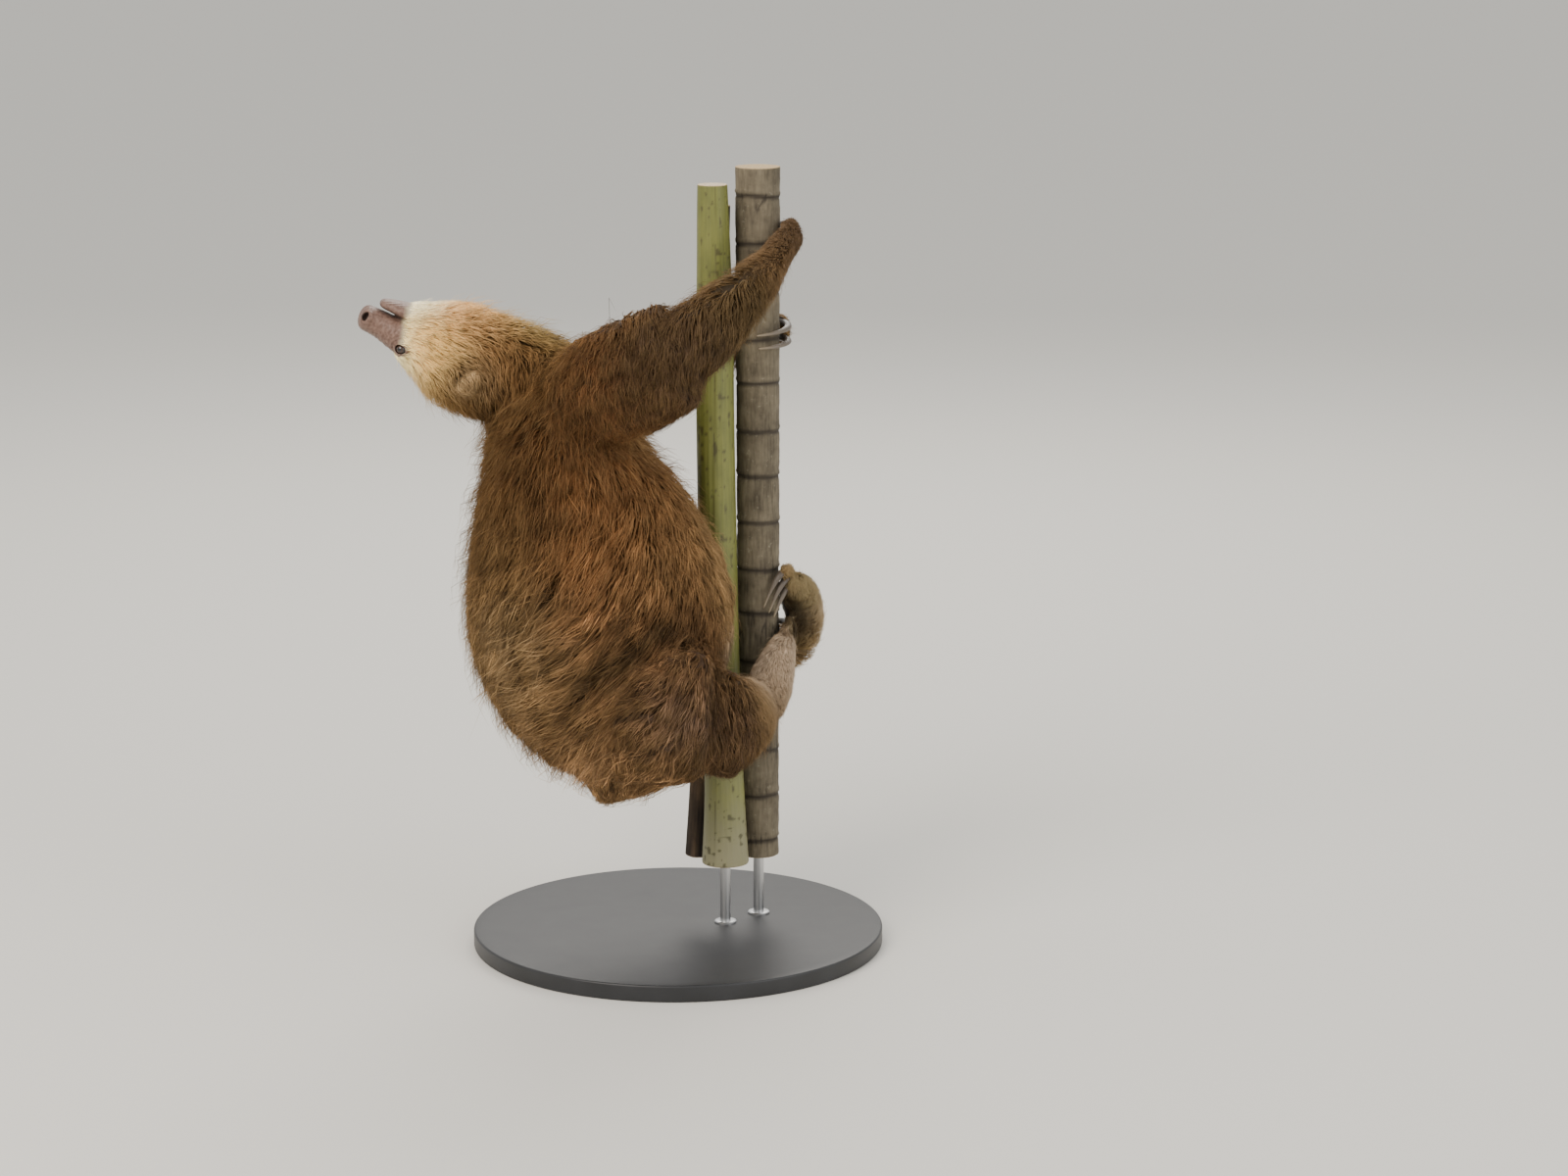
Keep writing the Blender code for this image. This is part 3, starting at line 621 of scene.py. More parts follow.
@dataclass(frozen=True)
class BareSkin:
    """Where the skin is naked: the snout, the lids, and the palms and soles."""

    frame: HeadFrame
    snout: Pair = (83.0, 92.0)  # mm along the head's x axis, where fur ends
    lids: Pair = (7.4, 8.8)  # mm from the eye's middle
    turned_in: Pair = (0.45, 0.8)  # how squarely a palm faces the stem that it grips

    def share(self, points: Array, normals: Array) -> Array:
        """How bare the skin is, 0 furred to 1 naked.

        Args:
            points: Places in metres.
            normals: Outward directions there.

        Returns:
            One share per place.
        """
        head = self.frame.to_head(points)
        edge = head[:, 0] + 0.10 * head[:, 2] + 2.2 * lattice_noise(points, 7 * MM, 11)
        share = smooth_step(*self.snout, edge)
        for side in Side:
            gap = self.frame.from_eye(head, side) + 0.7 * lattice_noise(points, 3 * MM, 12)
            share = np.maximum(share, 1 - smooth_step(*self.lids, gap))
        return np.maximum(share, self.palms(points, normals))

    def palms(self, points: Array, normals: Array) -> Array:
        """The same for palms and soles alone, which face the ringed stem."""
        low, high = box_of("perch_ringed_stem")
        inward = unit(((low + high) / 2)[:2] - points[:, :2])
        facing = smooth_step(*self.turned_in, (inward * normals[:, :2]).sum(1))
        share = np.zeros(len(points))
        for name in ("hand_right", "hand_left", "foot_right", "foot_left"):
            low, high = box_of(name)
            inside = np.all((points > low - 2 * MM) & (points < high + 2 * MM), axis=1)
            share = np.maximum(share, inside * facing)
        return share


BODY_NODES = ("trunk", "neck") + tuple(
    f"{part}_{side.label}"
    for part in ("upper_arm", "forearm", "hand", "thigh", "shank", "foot")
    for side in Side
)
HEAD_NODES = ("head", "muzzle", "lower_jaw", "ear_left", "ear_right")


def cad_envelope(nodes: Sequence[str], cell: float, overlap: float = 0.6 * MM) -> Object:
    """Melts CAD solids into one closed skin.

    Args:
        nodes: The solids.
        cell: The size of the skin's squares, in metres.
        overlap: How far each solid is grown first, so that neighbours meet.

    Returns:
        The skin.
    """
    work = bmesh.new()
    for name in nodes:
        part = bmesh.new()
        part.from_mesh(bpy.data.objects[name].data)
        bmesh.ops.remove_doubles(part, verts=part.verts, dist=1e-6)
        part.normal_update()
        for corner in part.verts:
            corner.co += corner.normal * overlap
        mesh = bpy.data.meshes.new(name + "_copy")
        part.to_mesh(mesh)
        part.free()
        work.from_mesh(mesh)
        bpy.data.meshes.remove(mesh)
    joined = bpy.data.meshes.new("envelope")
    work.to_mesh(joined)
    work.free()
    obj = link_mesh("envelope", joined)
    melt(obj, cell)
    set_corners(obj.data, ease(corners_of(obj.data), edges_of(obj.data), 6))
    return obj


@dataclass
class BodySkin:
    """The flesh of trunk, neck, limbs and the back of the head: the CAD solids' envelope, drawn in by the
    coat's depth. The front of the head is drawn in further, out of the way of the finer head skin."""

    frame: HeadFrame
    plan: CoatPlan
    cell: float = 2.1 * MM
    steps: int = 8
    palm_depth: float = 0.15  # share of the coat's depth that palms and soles keep
    tucked: Pair = (32, 66)  # mm along the head, where the tuck starts and is full

    def build(self) -> Object:
        """Draws the envelope in along its normals in small steps, easing it flat after each."""
        obj = cad_envelope((*BODY_NODES, "head", "ear_left", "ear_right"), self.cell)
        mesh = obj.data
        edges = edges_of(mesh)
        points = corners_of(mesh)
        palms = BareSkin(self.frame).palms(points, normals_of(mesh))
        depth = self.plan.at(points)[:, 3] * (1 - (1 - self.palm_depth) * palms)
        for _ in range(self.steps):
            moved = corners_of(mesh) - normals_of(mesh) * depth[:, None] / self.steps
            set_corners(mesh, ease(relax(moved, edges, 1, 0.15), edges, 2))
        self.tuck_front(mesh)
        melt(obj, self.cell)
        mesh = obj.data
        set_corners(mesh, ease(corners_of(mesh), edges_of(mesh), 5))
        return obj

    def tuck_front(self, mesh: Mesh) -> None:
        """Shrinks the head ahead of the ears towards its own x axis, to hide it in the finer head skin."""
        head = self.frame.to_head(corners_of(mesh))
        share = smooth_step(*self.tucked, head[:, :1])
        head[:, 1:] *= 1 - 0.7 * share
        head[:, 0] -= 0.5 * np.maximum(head[:, 0] - 60, 0)
        set_corners(mesh, self.frame.to_world(head))


@dataclass(frozen=True)
class Ball:
    """An ellipsoid on the head's left, in its millimetres, turned about the upright axis."""

    name: str
    at: Triple
    halves: Triple
    turn: float = 0.0  # degrees


@dataclass
class HeadSkin:
    """The head's flesh, from sections across its x axis. Tables are in the head's millimetres."""

    frame: HeadFrame
    cell: float = 0.95 * MM
    sides: int = 96
    # x, half width, height of the widest line, top, bottom
    skull: tuple[tuple[float, ...], ...] = (
        (-14, 22.0, -3.0, 22.0, -30.0),
        (0, 29.5, -3.0, 31.0, -38.0),
        (14, 33.5, -3.0, 34.5, -41.5),
        (30, 36.0, -2.0, 35.5, -43.0),
        (48, 36.0, -2.0, 32.0, -41.5),
        (64, 31.5, -3.0, 25.0, -36.0),
        (80, 25.5, -2.0, 19.0, -27.0),
        (90, 22.6, -1.0, 16.4, -18.0),
        (97, 20.6, -0.6, 14.4, -13.8),
        (106, 17.2, -1.6, 11.6, -14.0),
        (114, 16.0, -2.2, 10.2, -14.2),
        (120, 16.2, -2.4, 9.6, -14.2),
        (124, 15.2, -2.4, 8.4, -13.0),
        (126.6, 12.2, -2.4, 5.4, -9.8),
        (127.8, 6.2, -2.4, 1.4, -5.6),
    )
    jaw: tuple[tuple[float, ...], ...] = (
        (24, 20.0, -30.0, -18.0, -37.0),
        (40, 26.5, -29.0, -16.0, -40.0),
        (56, 25.5, -27.0, -14.0, -37.5),
        (72, 22.0, -24.0, -13.0, -33.5),
        (86, 19.6, -21.5, -13.6, -30.3),
        (97, 17.2, -21.0, -15.4, -28.2),
        (104, 14.4, -20.8, -16.0, -26.8),
        (110, 11.6, -20.4, -16.4, -25.2),
        (113.6, 8.4, -20.2, -17.2, -23.6),
        (115.2, 4.0, -20.2, -18.6, -21.8),
    )
    eye_radius: float = 6.4
    lid_thickness: float = 1.7
    lid_opening: Pair = (5.9, 3.9)
    gaze: Triple = (0.50, 0.86, 0.06)
    swellings: tuple[Ball, ...] = (
        Ball("ear", (21.0, 39.5, 7.5), (4.0, 10.0, 9.6), 38),
        Ball("nostril_wing", (120.8, 10.6, -3.4), (6.6, 7.2, 8.0)),
    )
    hollows: tuple[Ball, ...] = (
        Ball("ear_cup", (25.0, 42.5, 8.0), (4.4, 7.0, 6.8), 38),
        Ball("nostril", (124.8, 14.4, -5.2), (7.0, 3.4, 4.6), 48),
    )

    def section_tube(self, name: str, rows: tuple[tuple[float, ...], ...], power: float) -> Object:
        """A tube whose sections are rounded boxes.

        At angle a a corner is (half width * |cos a|^(2/p), widest line + half height * |sin a|^(2/p)), with
        each sign kept, and the half height is the one above or below the widest line.

        Args:
            name: The object's name.
            rows: The table of sections.
            power: p, which is 2 for an ellipse and more for a boxier section.

        Returns:
            The closed tube in world metres.
        """
        x, half, middle, top, bottom = curve_rows(rows, 12 * len(rows)).T[:, :, None]
        angle = full_turn(self.sides)[None]
        across = np.sign(np.cos(angle)) * np.abs(np.cos(angle)) ** (2 / power)
        up = np.sign(np.sin(angle)) * np.abs(np.sin(angle)) ** (2 / power)
        height = np.where(up > 0, top - middle, middle - bottom)
        rings = np.stack([x + 0 * angle, half * across, middle + height * up], axis=-1)
        return closed_tube(name, self.frame.to_world(rings))

    def ball(self, ball: Ball, side: Side) -> Object:
        """A closed ellipsoid: middle + halves * (cos a sin b, sin a sin b, cos b), along its own axes."""
        across = full_turn(40)[None]
        down = np.linspace(0, math.pi, 26)[1:-1, None]
        round_it = [np.cos(across) * np.sin(down), np.sin(across) * np.sin(down), np.cos(down) + 0 * across]
        local = np.stack(round_it, axis=-1) * np.array(ball.halves) @ upright_turn(ball.turn * side.value)
        return closed_tube(ball.name, self.frame.to_world(local + self.frame.on(side, ball.at)))

    def eye_axes(self, side: Side) -> Array:
        """Rows: along the lids, upright, and out along the gaze."""
        out = unit(np.array([self.gaze[0], side.value * self.gaze[1], self.gaze[2]]))
        along = unit(np.cross([0.0, 0.0, 1.0], out))
        return np.array([along, np.cross(out, along), out])

    def eye_opening(self, side: Side) -> Object:
        """A cutter for the gap between the lids: a lens-shaped hole, wider outside.

        Its outline at angle a is (long half * cos a, short half * sin a * |sin a|^0.35), which draws both
        corners to a point.
        """
        angle = full_turn(48)[None]
        reach = np.array([2.0, 5.0, 7.0, 9.0, 12.0])[:, None]
        flare = np.array([0.9, 0.95, 1.0, 1.12, 1.3])[:, None]
        long_half, short_half = self.lid_opening
        flat = np.stack(
            [
                flare * long_half * np.cos(angle),
                flare * short_half * np.sin(angle) * np.abs(np.sin(angle)) ** 0.35,
                reach + 0 * angle,
            ],
            axis=-1,
        )
        centre = self.frame.on(side, self.frame.eye_at)
        return closed_tube("eye_opening", self.frame.to_world(centre + flat @ self.eye_axes(side)))

    def build(self) -> Object:
        """Joins skull, jaw, lids, ears and nostril wings, cuts the openings, and melts all to one skin."""
        head = self.section_tube("head_skin", self.skull, 2.25)
        added = [self.section_tube("jaw", self.jaw, 2.3)]
        cut = []
        lids = Ball("lids", self.frame.eye_at, (self.eye_radius + self.lid_thickness,) * 3)
        socket = Ball("socket", self.frame.eye_at, (self.eye_radius + 0.1,) * 3)
        for side in Side:
            added += [self.ball(ball, side) for ball in (lids, *self.swellings)]
            cut += [self.ball(socket, side), self.eye_opening(side)]
            cut += [self.ball(ball, side) for ball in self.hollows]
        combine(head, added, Surface.JOIN)
        combine(head, cut, Surface.CUT)
        melt(head, self.cell)
        mesh = head.data
        set_corners(mesh, relax(corners_of(mesh), edges_of(mesh), 3, 0.5))
        self.wrinkle(mesh)
        return head

    def wrinkle(self, mesh: Mesh) -> None:
        """Moves the bare snout's skin in and out: rings of folds behind the nose, a groove down its middle,
        and rings round each eye. Each is a sum of cosines whose phase is bent by noise."""
        points = corners_of(mesh)
        head = self.frame.to_head(points)
        x, y, z = head.T
        bend = lattice_noise(points, 9 * MM, 3) * 1.6
        off_lips = smooth_step(2, 6, np.abs(z - self.frame.lip_height))
        snout = smooth_step(86, 94, x) * (1 - smooth_step(112, 118, x)) * off_lips
        push = 0.20 * snout * np.cos(2 * math.pi * (x + bend * 1.6 + 0.05 * z**2) / 3.4)
        nose = smooth_step(119, 123, x)
        push -= 0.9 * nose * bell(y / 1.1) * (1 - smooth_step(6, 10, z))
        push += 0.12 * nose * lattice_noise(points, 1.8 * MM, 5)
        for side in Side:
            gap = self.frame.from_eye(head, side)
            ring = smooth_step(7.4, 8.6, gap) * (1 - smooth_step(12.0, 15.5, gap))
            push += 0.38 * ring * np.cos(2 * math.pi * (gap + bend * 0.5) / 2.9)
        set_corners(mesh, points + normals_of(mesh) * (push * MM)[:, None])


@dataclass
class Skin:
    """The whole skin: body and head joined, unwrapped, and marked."""

    frame: HeadFrame
    plan: CoatPlan
    most_triangles: int = 188000
    joint: tuple[float, ...] = (-30, -10, 45, 62)  # mm along the head: the joint fades in, is full, fades out
    ear: Triple = (21.0, 42.0, 7.5)  # its middle, in the head's millimetres
    ear_kept: Pair = (9, 15)  # mm from it that stay crisp
    nostril: Ball = Ball("nostril", (122.6, 12.4, -5.0), (6.4, 5.2, 5.6))
    obj: Object = field(init=False)

    def build(self) -> Object:
        """Joins the head to the neck and eases the joint away."""
        self.obj = BodySkin(self.frame, self.plan).build()
        LOG.info("body skin: %d faces", len(self.obj.data.polygons))
        head_skin = HeadSkin(self.frame).build()
        LOG.info("head skin: %d faces", len(head_skin.data.polygons))
        combine(self.obj, [head_skin], Surface.JOIN)
        self.obj.name = self.obj.data.name = "skin"
        mesh = self.obj.data
        points = corners_of(mesh)
        head = self.frame.to_head(points)
        joint = smooth_step(*self.joint[:2], head[:, 0]) * (1 - smooth_step(*self.joint[2:], head[:, 0]))
        for side in Side:
            from_ear = np.linalg.norm(head - self.frame.on(side, self.ear), axis=1)
            joint *= smooth_step(*self.ear_kept, from_ear)
        set_corners(mesh, relax(points, edges_of(mesh), 24, 0.5 * joint[:, None]))
        self.triangulate()
        self.thin()
        self.unwrap()
        self.mark()
        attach(self.obj, BODY)
        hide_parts(*BODY_NODES, *HEAD_NODES)
        return self.obj

    def triangulate(self) -> None:
        """Splits every face into triangles, so that the baked and shown surfaces agree."""
        work = bmesh.new()
        work.from_mesh(self.obj.data)
        bmesh.ops.triangulate(work, faces=work.faces)
        work.to_mesh(self.obj.data)
        work.free()
        self.obj.data.shade_smooth()

    def thin(self) -> None:
        """Merges small triangles where deep coat hides them, and keeps those of face, hands and feet."""
        points = corners_of(self.obj.data)
        hidden = smooth_step(7 * MM, 12 * MM, self.plan.at(points)[:, 3])
        group = self.obj.vertex_groups.new(name="hidden")
        for level in np.linspace(0.05, 1.0, 8):
            chosen = np.nonzero((hidden > level - 0.07) & (hidden <= level + 0.07))[0]
            group.add(chosen.tolist(), float(level), "REPLACE")
        modifier = self.obj.modifiers.new("Thin", "DECIMATE")
        modifier.ratio = min(1.0, self.most_triangles / len(self.obj.data.polygons))
        modifier.vertex_group = group.name
        modifier.vertex_group_factor = 6.0
        apply_modifiers(self.obj)
        self.obj.vertex_groups.clear()
        self.obj.data.shade_smooth()

    def unwrap(self) -> None:
        """Unwraps the skin by its own shape."""
        bpy.context.view_layer.objects.active = self.obj
        self.obj.select_set(True)
        self.obj.data.uv_layers.new(name="OFBake")
        bpy.ops.object.mode_set(mode="EDIT")
        bpy.ops.mesh.select_all(action="SELECT")
        bpy.ops.uv.smart_project(angle_limit=math.radians(66), island_margin=0.002)
        bpy.ops.object.mode_set(mode="OBJECT")
        self.obj.select_set(False)

    def shade_in_openings(self, points: Array) -> Array:
        """How dark the skin is, 0 to 1: painted shade in the nostrils, round the eyeballs and between the
        lips.
        """
        head = self.frame.to_head(points)
        dark = np.zeros(len(points))
        for side in Side:
            offset = (head - self.frame.on(side, self.nostril.at)) / self.nostril.halves
            dark = np.maximum(dark, 1 - smooth_step(0.62, 1.0, np.linalg.norm(offset, axis=1)))
            dark = np.maximum(dark, 0.85 * (1 - smooth_step(6.6, 8.3, self.frame.from_eye(head, side))))
        x, _, z = head.T
        height = z - self.frame.lip_height + 0.03 * (x - 100)
        lips = bell(height / 2.4) * smooth_step(70, 80, x)
        return np.maximum(dark, 0.8 * lips * (1 - smooth_step(112, 118, x)))

    def mark(self) -> None:
        """Stores the markings and the bare share at each corner."""
        mesh = self.obj.data
        points, normals = corners_of(mesh), normals_of(mesh)
        plan = self.plan.at(points)
        # Skin under short fur is lightened, so it takes less painted shade.
        pale = 1 + 1.0 * smooth_step(18 * MM, 5 * MM, plan[:, 3:4])
        put_attribute(mesh, "coat_colour", plan[:, 5:8] * pale)
        bare = BareSkin(self.frame)
        put_attribute(mesh, "bare", bare.share(points, normals))
        # dark: the palms' and soles' own dark skin, and painted shade in the nostrils, round the eyes and
        # along the mouth's line.
        put_attribute(mesh, "dark", np.maximum(bare.palms(points, normals), self.shade_in_openings(points)))


# ---- room around the skin ----


@dataclass
class SkinSpace:
    """Distance to the skin, the way out of it, and how deep below the coat's outside a place is, on a grid
    that any place can be read from."""

    skin: Object
    spacing: float = 6.5 * MM
    margin: float = 50 * MM
    low: Array = field(init=False)
    grid: Array = field(init=False)

    def __post_init__(self) -> None:
        """Lays out the grid and fills it."""
        points = corners_of(self.skin.data)
        self.low = points.min(0) - self.margin
        counts = np.ceil((points.max(0) + self.margin - self.low) / self.spacing).astype(int) + 1
        axes = [self.low[k] + np.arange(counts[k]) * self.spacing for k in range(3)]
        places = np.stack(np.meshgrid(*axes, indexing="ij"), axis=-1).reshape(-1, 3)
        envelope = cad_envelope((*BODY_NODES, *HEAD_NODES), 4 * MM)
        distance = self.signed(self.skin, places).reshape(counts)
        below = -self.signed(envelope, places).reshape(counts)
        discard(envelope)
        slope = unit(np.stack(np.gradient(distance, self.spacing), axis=-1))
        self.grid = np.concatenate([distance[..., None], slope, below[..., None]], axis=-1)

    def signed(self, obj: Object, places: Array) -> Array:
        """Distance from each place to a closed mesh, negative inside it."""
        tree = BVHTree.FromObject(obj, bpy.context.evaluated_depsgraph_get())
        hits = [tree.find_nearest(place)[:2] for place in places]
        gap = places - np.array([hit[0] for hit in hits])
        out = np.array([hit[1] for hit in hits])
        return np.linalg.norm(gap, axis=1) * np.where((gap * out).sum(1) < 0, -1, 1)

    def gap(self, points: Array) -> Array:
        """Distance from each place to the skin itself, negative inside it."""
        return self.signed(self.skin, points)

    def read(self, points: Array) -> tuple[Array, Array, Array]:
        """Blends the eight grid points around each place.

        Args:
            points: Places in metres.

        Returns:
            Distance to the skin, outward direction, and depth below the coat's outside.
        """
        scaled = (points - self.low) / self.spacing
        top = np.array(self.grid.shape[:3]) - 2
        base = np.clip(np.floor(scaled).astype(int), 0, top)
        share = np.clip(scaled - base, 0, 1)
        total = np.zeros((len(points), 5))
        for near, weight in lattice_corners(base, share):
            total += weight[:, None] * self.grid[tuple(near)]
        return total[:, 0], unit(total[:, 1:4]), total[:, 4]


# ---- coat ----


@dataclass(frozen=True)
class TuftKind:
    """One layer of the coat. A tuft is a closed three-sided spike of two rings and a point."""

    name: str
    count: int
    pieces: int
    half_width: float  # mm, where the coat is long
    height: float  # share of the coat's depth that its tips reach
    length: float  # share of the coat's length
    tone: float  # brightness
    stray: float  # share of tufts that stand off


GUARD = TuftKind("coat_guard", 84000, 5, 0.68, 1.0, 1.05, 1.0, 0.30)
UNDER = TuftKind("coat_under", 29000, 2, 1.35, 0.70, 0.78, 0.78, 0.0)
SHORT = TuftKind("coat_short", 37000, 2, 0.52, 1.0, 1.0, 1.0, 0.08)


@dataclass(frozen=True)
class Locks:
    """The locks that tufts gather into. One root in each lattice cell leads a lock."""

    root: Array  # where each lock starts
    of: Array  # each tuft's lock
    long: Array  # length, as a share of the coat's
    turn: Array  # radians off the coat's lie
    tone: Array  # dark to light, around 0
    high: Array  # height, as a share of the coat's

    @classmethod
    def among(cls, roots: Array, spacing: float) -> Locks:
        """Picks the locks and draws how they differ.

        Args:
            roots: Every tuft's root.
            spacing: The lattice's spacing, in metres.

        Returns:
            The locks, with each tuft in the nearest.
        """
        cell = np.floor(roots / spacing).astype(int)
        _, first = np.unique(cell, axis=0, return_index=True)
        leads = roots[first]
        tree = KDTree(len(leads))
        for number, place in enumerate(leads):
            tree.insert(place, number)
        tree.balance()
        rng, count = np.random.default_rng(SEED + 1), len(leads)
        return cls(
            root=leads,
            of=np.array([tree.find(place)[1] for place in roots]),
            long=rng.uniform(0.72, 1.22, count),
            turn=rng.normal(0, 0.16, count) + 0.25 * lattice_noise(leads, 45 * MM, 8),
            tone=rng.normal(0, 1, count),
            high=rng.uniform(0.86, 1.10, count),
        )


@dataclass(frozen=True)
class Tufts:
    """A layer's finished tufts, one row each."""

    points: Array  # corners as tuft, corner, axis
    flat: Array  # the root's place on the skin's unwrap
    colour: Array  # linear
    gold: Array  # how golden the end is
    long_share: Array  # how long the coat is there, 0 to 1

    def some(self, chosen: Array) -> Tufts:
        """The tufts with these numbers."""
        return Tufts(*(getattr(self, each.name)[chosen] for each in fields(self)))


@dataclass
class Coat:
    """The fur: tufts rooted on the skin, gathered into locks, that lie the way the coat's plan says."""

    skin: Skin
    plan: CoatPlan
    space: SkinSpace
    stems: Sequence[PerchStem]
    lock_spacing: float = 7.0 * MM
    short_below: float = 11 * MM  # depth of coat that is short fur
    coarse_from: Pair = (0.43, 0.34)  # height where clumps start, and where they are full
    rootedness: float = 1.0 * MM  # how deep roots lie in the skin
    stem_gap: float = 0.9 * MM
    patch: float = 0.003  # each tuft's part of the unwrap
    steps: int = 2  # along a tuft
    profile: Pair = (1.0, 0.8)  # thickness at the root and half way
    flatness: float = 0.6  # a tuft's thickness as a share of its width
    rng: np.random.Generator = field(default_factory=lambda: np.random.default_rng(SEED))

    def __post_init__(self) -> None:
        """Reads the skin's triangles, their sizes and their places on its unwrap."""
        mesh = self.skin.obj.data
        self.corners = corners_of(mesh)
        mesh.calc_loop_triangles()
        self.triangles = read_all(mesh.loop_triangles, "vertices", 3, np.int32)
        loops = read_all(mesh.loop_triangles, "loops", 3, np.int32)
        self.flat = read_all(mesh.uv_layers["OFBake"].data, "uv", 2)[loops]
        a, b, c = (self.corners[self.triangles[:, k]] for k in range(3))
        cross = np.cross(b - a, c - a)
        self.areas = np.linalg.norm(cross, axis=1) / 2
        self.facing = unit(cross)
        middle = (a + b + c) / 3
        self.depths = self.plan.at(middle)[:, 3]
        self.bare = BareSkin(self.skin.frame).share(middle, self.facing)
        ears = [sum(box_of(f"ear_{side.label}")) / 2 for side in Side]
        from_ears = np.minimum(*(np.linalg.norm(middle - ear, axis=1) for ear in ears))
        self.on_ear = smooth_step(16 * MM, 10 * MM, from_ears)

    def spread(self, low: float, high: float, count: int) -> Array:
        """Draws evenly between two limits, once for each tuft."""
        return self.rng.uniform(low, high, count)

    def coarse(self, points: Array) -> Array:
        """How much the coat clumps, 0 on the shoulders to 1 from the flank down."""
        return smooth_step(*self.coarse_from, points[:, 2])

    def roots(self, kind: TuftKind) -> tuple[Array, Array, Array]:
        """Scatters a layer's roots over the furred skin in proportion to area, more densely on the ears and
        where short fur is shortest.

        Args:
            kind: The layer.

        Returns:
            Places, outward directions, and places on the unwrap.
        """
        short = self.depths < self.short_below
        weight = self.areas * (1 - smooth_step(0.3, 0.9, self.bare))
        weight *= short if kind is SHORT else ~short
        weight *= 1 + 2.5 * self.on_ear
        if kind is SHORT:
            weight *= 1 + 3.0 * smooth_step(9 * MM, 3 * MM, self.depths)
        total = np.cumsum(weight)
        ladder = (np.arange(kind.count) + self.rng.random(kind.count)) / kind.count
        face = np.searchsorted(total, ladder * total[-1])
        u, v = self.rng.random((2, kind.count))
        flip = u + v > 1
        u[flip], v[flip] = 1 - u[flip], 1 - v[flip]
        share = np.stack([1 - u - v, u, v], axis=1)[..., None]
        place = (self.corners[self.triangles[face]] * share).sum(1)
        return place, self.facing[face], (self.flat[face] * share).sum(1)

    def strands(
        self, start: Array, length: Array, high: Array, lift: Array | float, turn: Array
    ) -> tuple[Array, Array]:
        """Follows the coat's lie over the skin from each root.

        At share t of its length a strand stands high * thickness * (1 - (1 - t)^lift) off the skin, where
        thickness is the room between the skin and the coat's outside there. Each step goes along the plan's
        flow, laid flat on the skin and turned by a small angle.

        Args:
            start: Roots.
            length: Each strand's length along the skin.
            high: The share of the coat's thickness that its tip reaches.
            lift: How soon it rises.
            turn: A small turn about the outward direction, in radians.

        Returns:
            Places and outward directions, as strand, step, axis.
        """
        place = start.copy()
        places, normals = [place], [self.space.read(place)[1]]
        for step in range(1, self.steps + 1):
            out = normals[-1]
            flow = self.plan.at(place)[:, :3]
            flow = unit(flow - (flow * out).sum(1, keepdims=True) * out)
            side = np.cross(out, flow)
            ahead = flow * np.cos(turn)[:, None] + side * np.sin(turn)[:, None]
            place = place + ahead * (length / self.steps)[:, None]
            gap, out, below = self.space.read(place)
            thickness = np.clip(gap + below, np.maximum(1.2 * MM, 0.13 * length), 30 * MM)
            wanted = high * thickness * (1 - (1 - step / self.steps) ** lift)
            place = place + out * (wanted - self.space.gap(place))[:, None]
            places.append(place)
            normals.append(out)
        return np.stack(places, 1), np.stack(normals, 1)

    def hollow(self, points: Array, normals: Array) -> Array:
        """How enclosed a place is, 0 to 1: how much less room there is 28 mm out than over flat skin."""
        reach = 28 * MM
        gap = self.space.read(points + normals * reach)[0]
        return np.clip(1 - gap / reach, 0, 1)

    def lay(
        self, kind: TuftKind, root: Array, facing: Array, long_share: Array, locks: Locks
    ) -> tuple[Array, Array]:
        """Draws each tuft's size and lie, gathers it towards its lock, and wraps it in a spike.

        Args:
            kind: The layer.
            root: Each tuft's root.
            facing: The outward direction there.
            long_share: How long the coat is there, 0 to 1.
            locks: The layer's locks.

        Returns:
            Each tuft's path as tuft, step, axis, and its corners as tuft, corner, axis.
        """
        count, lock = kind.count, locks.of
        lock_length = self.plan.at(locks.root)[:, 4] * locks.long * kind.length
        lock_path, _ = self.strands(locks.root, lock_length, locks.high * kind.height, 2.0, locks.turn)
        stray = self.rng.random(count) < kind.stray
        length = self.plan.at(root)[:, 4] * locks.long[lock] * kind.length * self.spread(0.75, 1.1, count)
        high = locks.high[lock] * kind.height * self.spread(0.84, 1.08, count)
        high *= np.where(stray, self.spread(1.0, 1.9, count), 1)
        # Tufts lie lower under the lines of painted shade, in the folds.
        high *= 1 - 0.45 * np.clip(1 - self.folds(root), 0, 1)
        lift = self.spread(1.4, 2.6, count)
        turn = locks.turn[lock] + self.rng.normal(0, 0.16, count) + stray * self.rng.normal(0, 0.3, count)
        path, out = self.strands(root - facing * self.rootedness, length, high, lift, turn)
        along = np.linspace(0, 1, self.steps + 1)
        gather = ((0.38 + 0.22 * self.coarse(root)) * long_share * ~stray)[:, None, None]
        gather = gather * (along**1.3)[None, :, None]
        offset = root - locks.root[lock]
        path += gather * (lock_path[lock] + 0.35 * offset[:, None] - path)
        width = kind.half_width * MM * (0.55 + 0.45 * long_share) * self.spread(0.65, 1.15, count)
        points = self.spikes(path, out, width * np.where(stray, 0.48, 1))
        flat_points = points.reshape(-1, 3)
        for stem in self.stems:
            flat_points = stem.push_out(flat_points, self.stem_gap)
        return path, flat_points.reshape(points.shape)

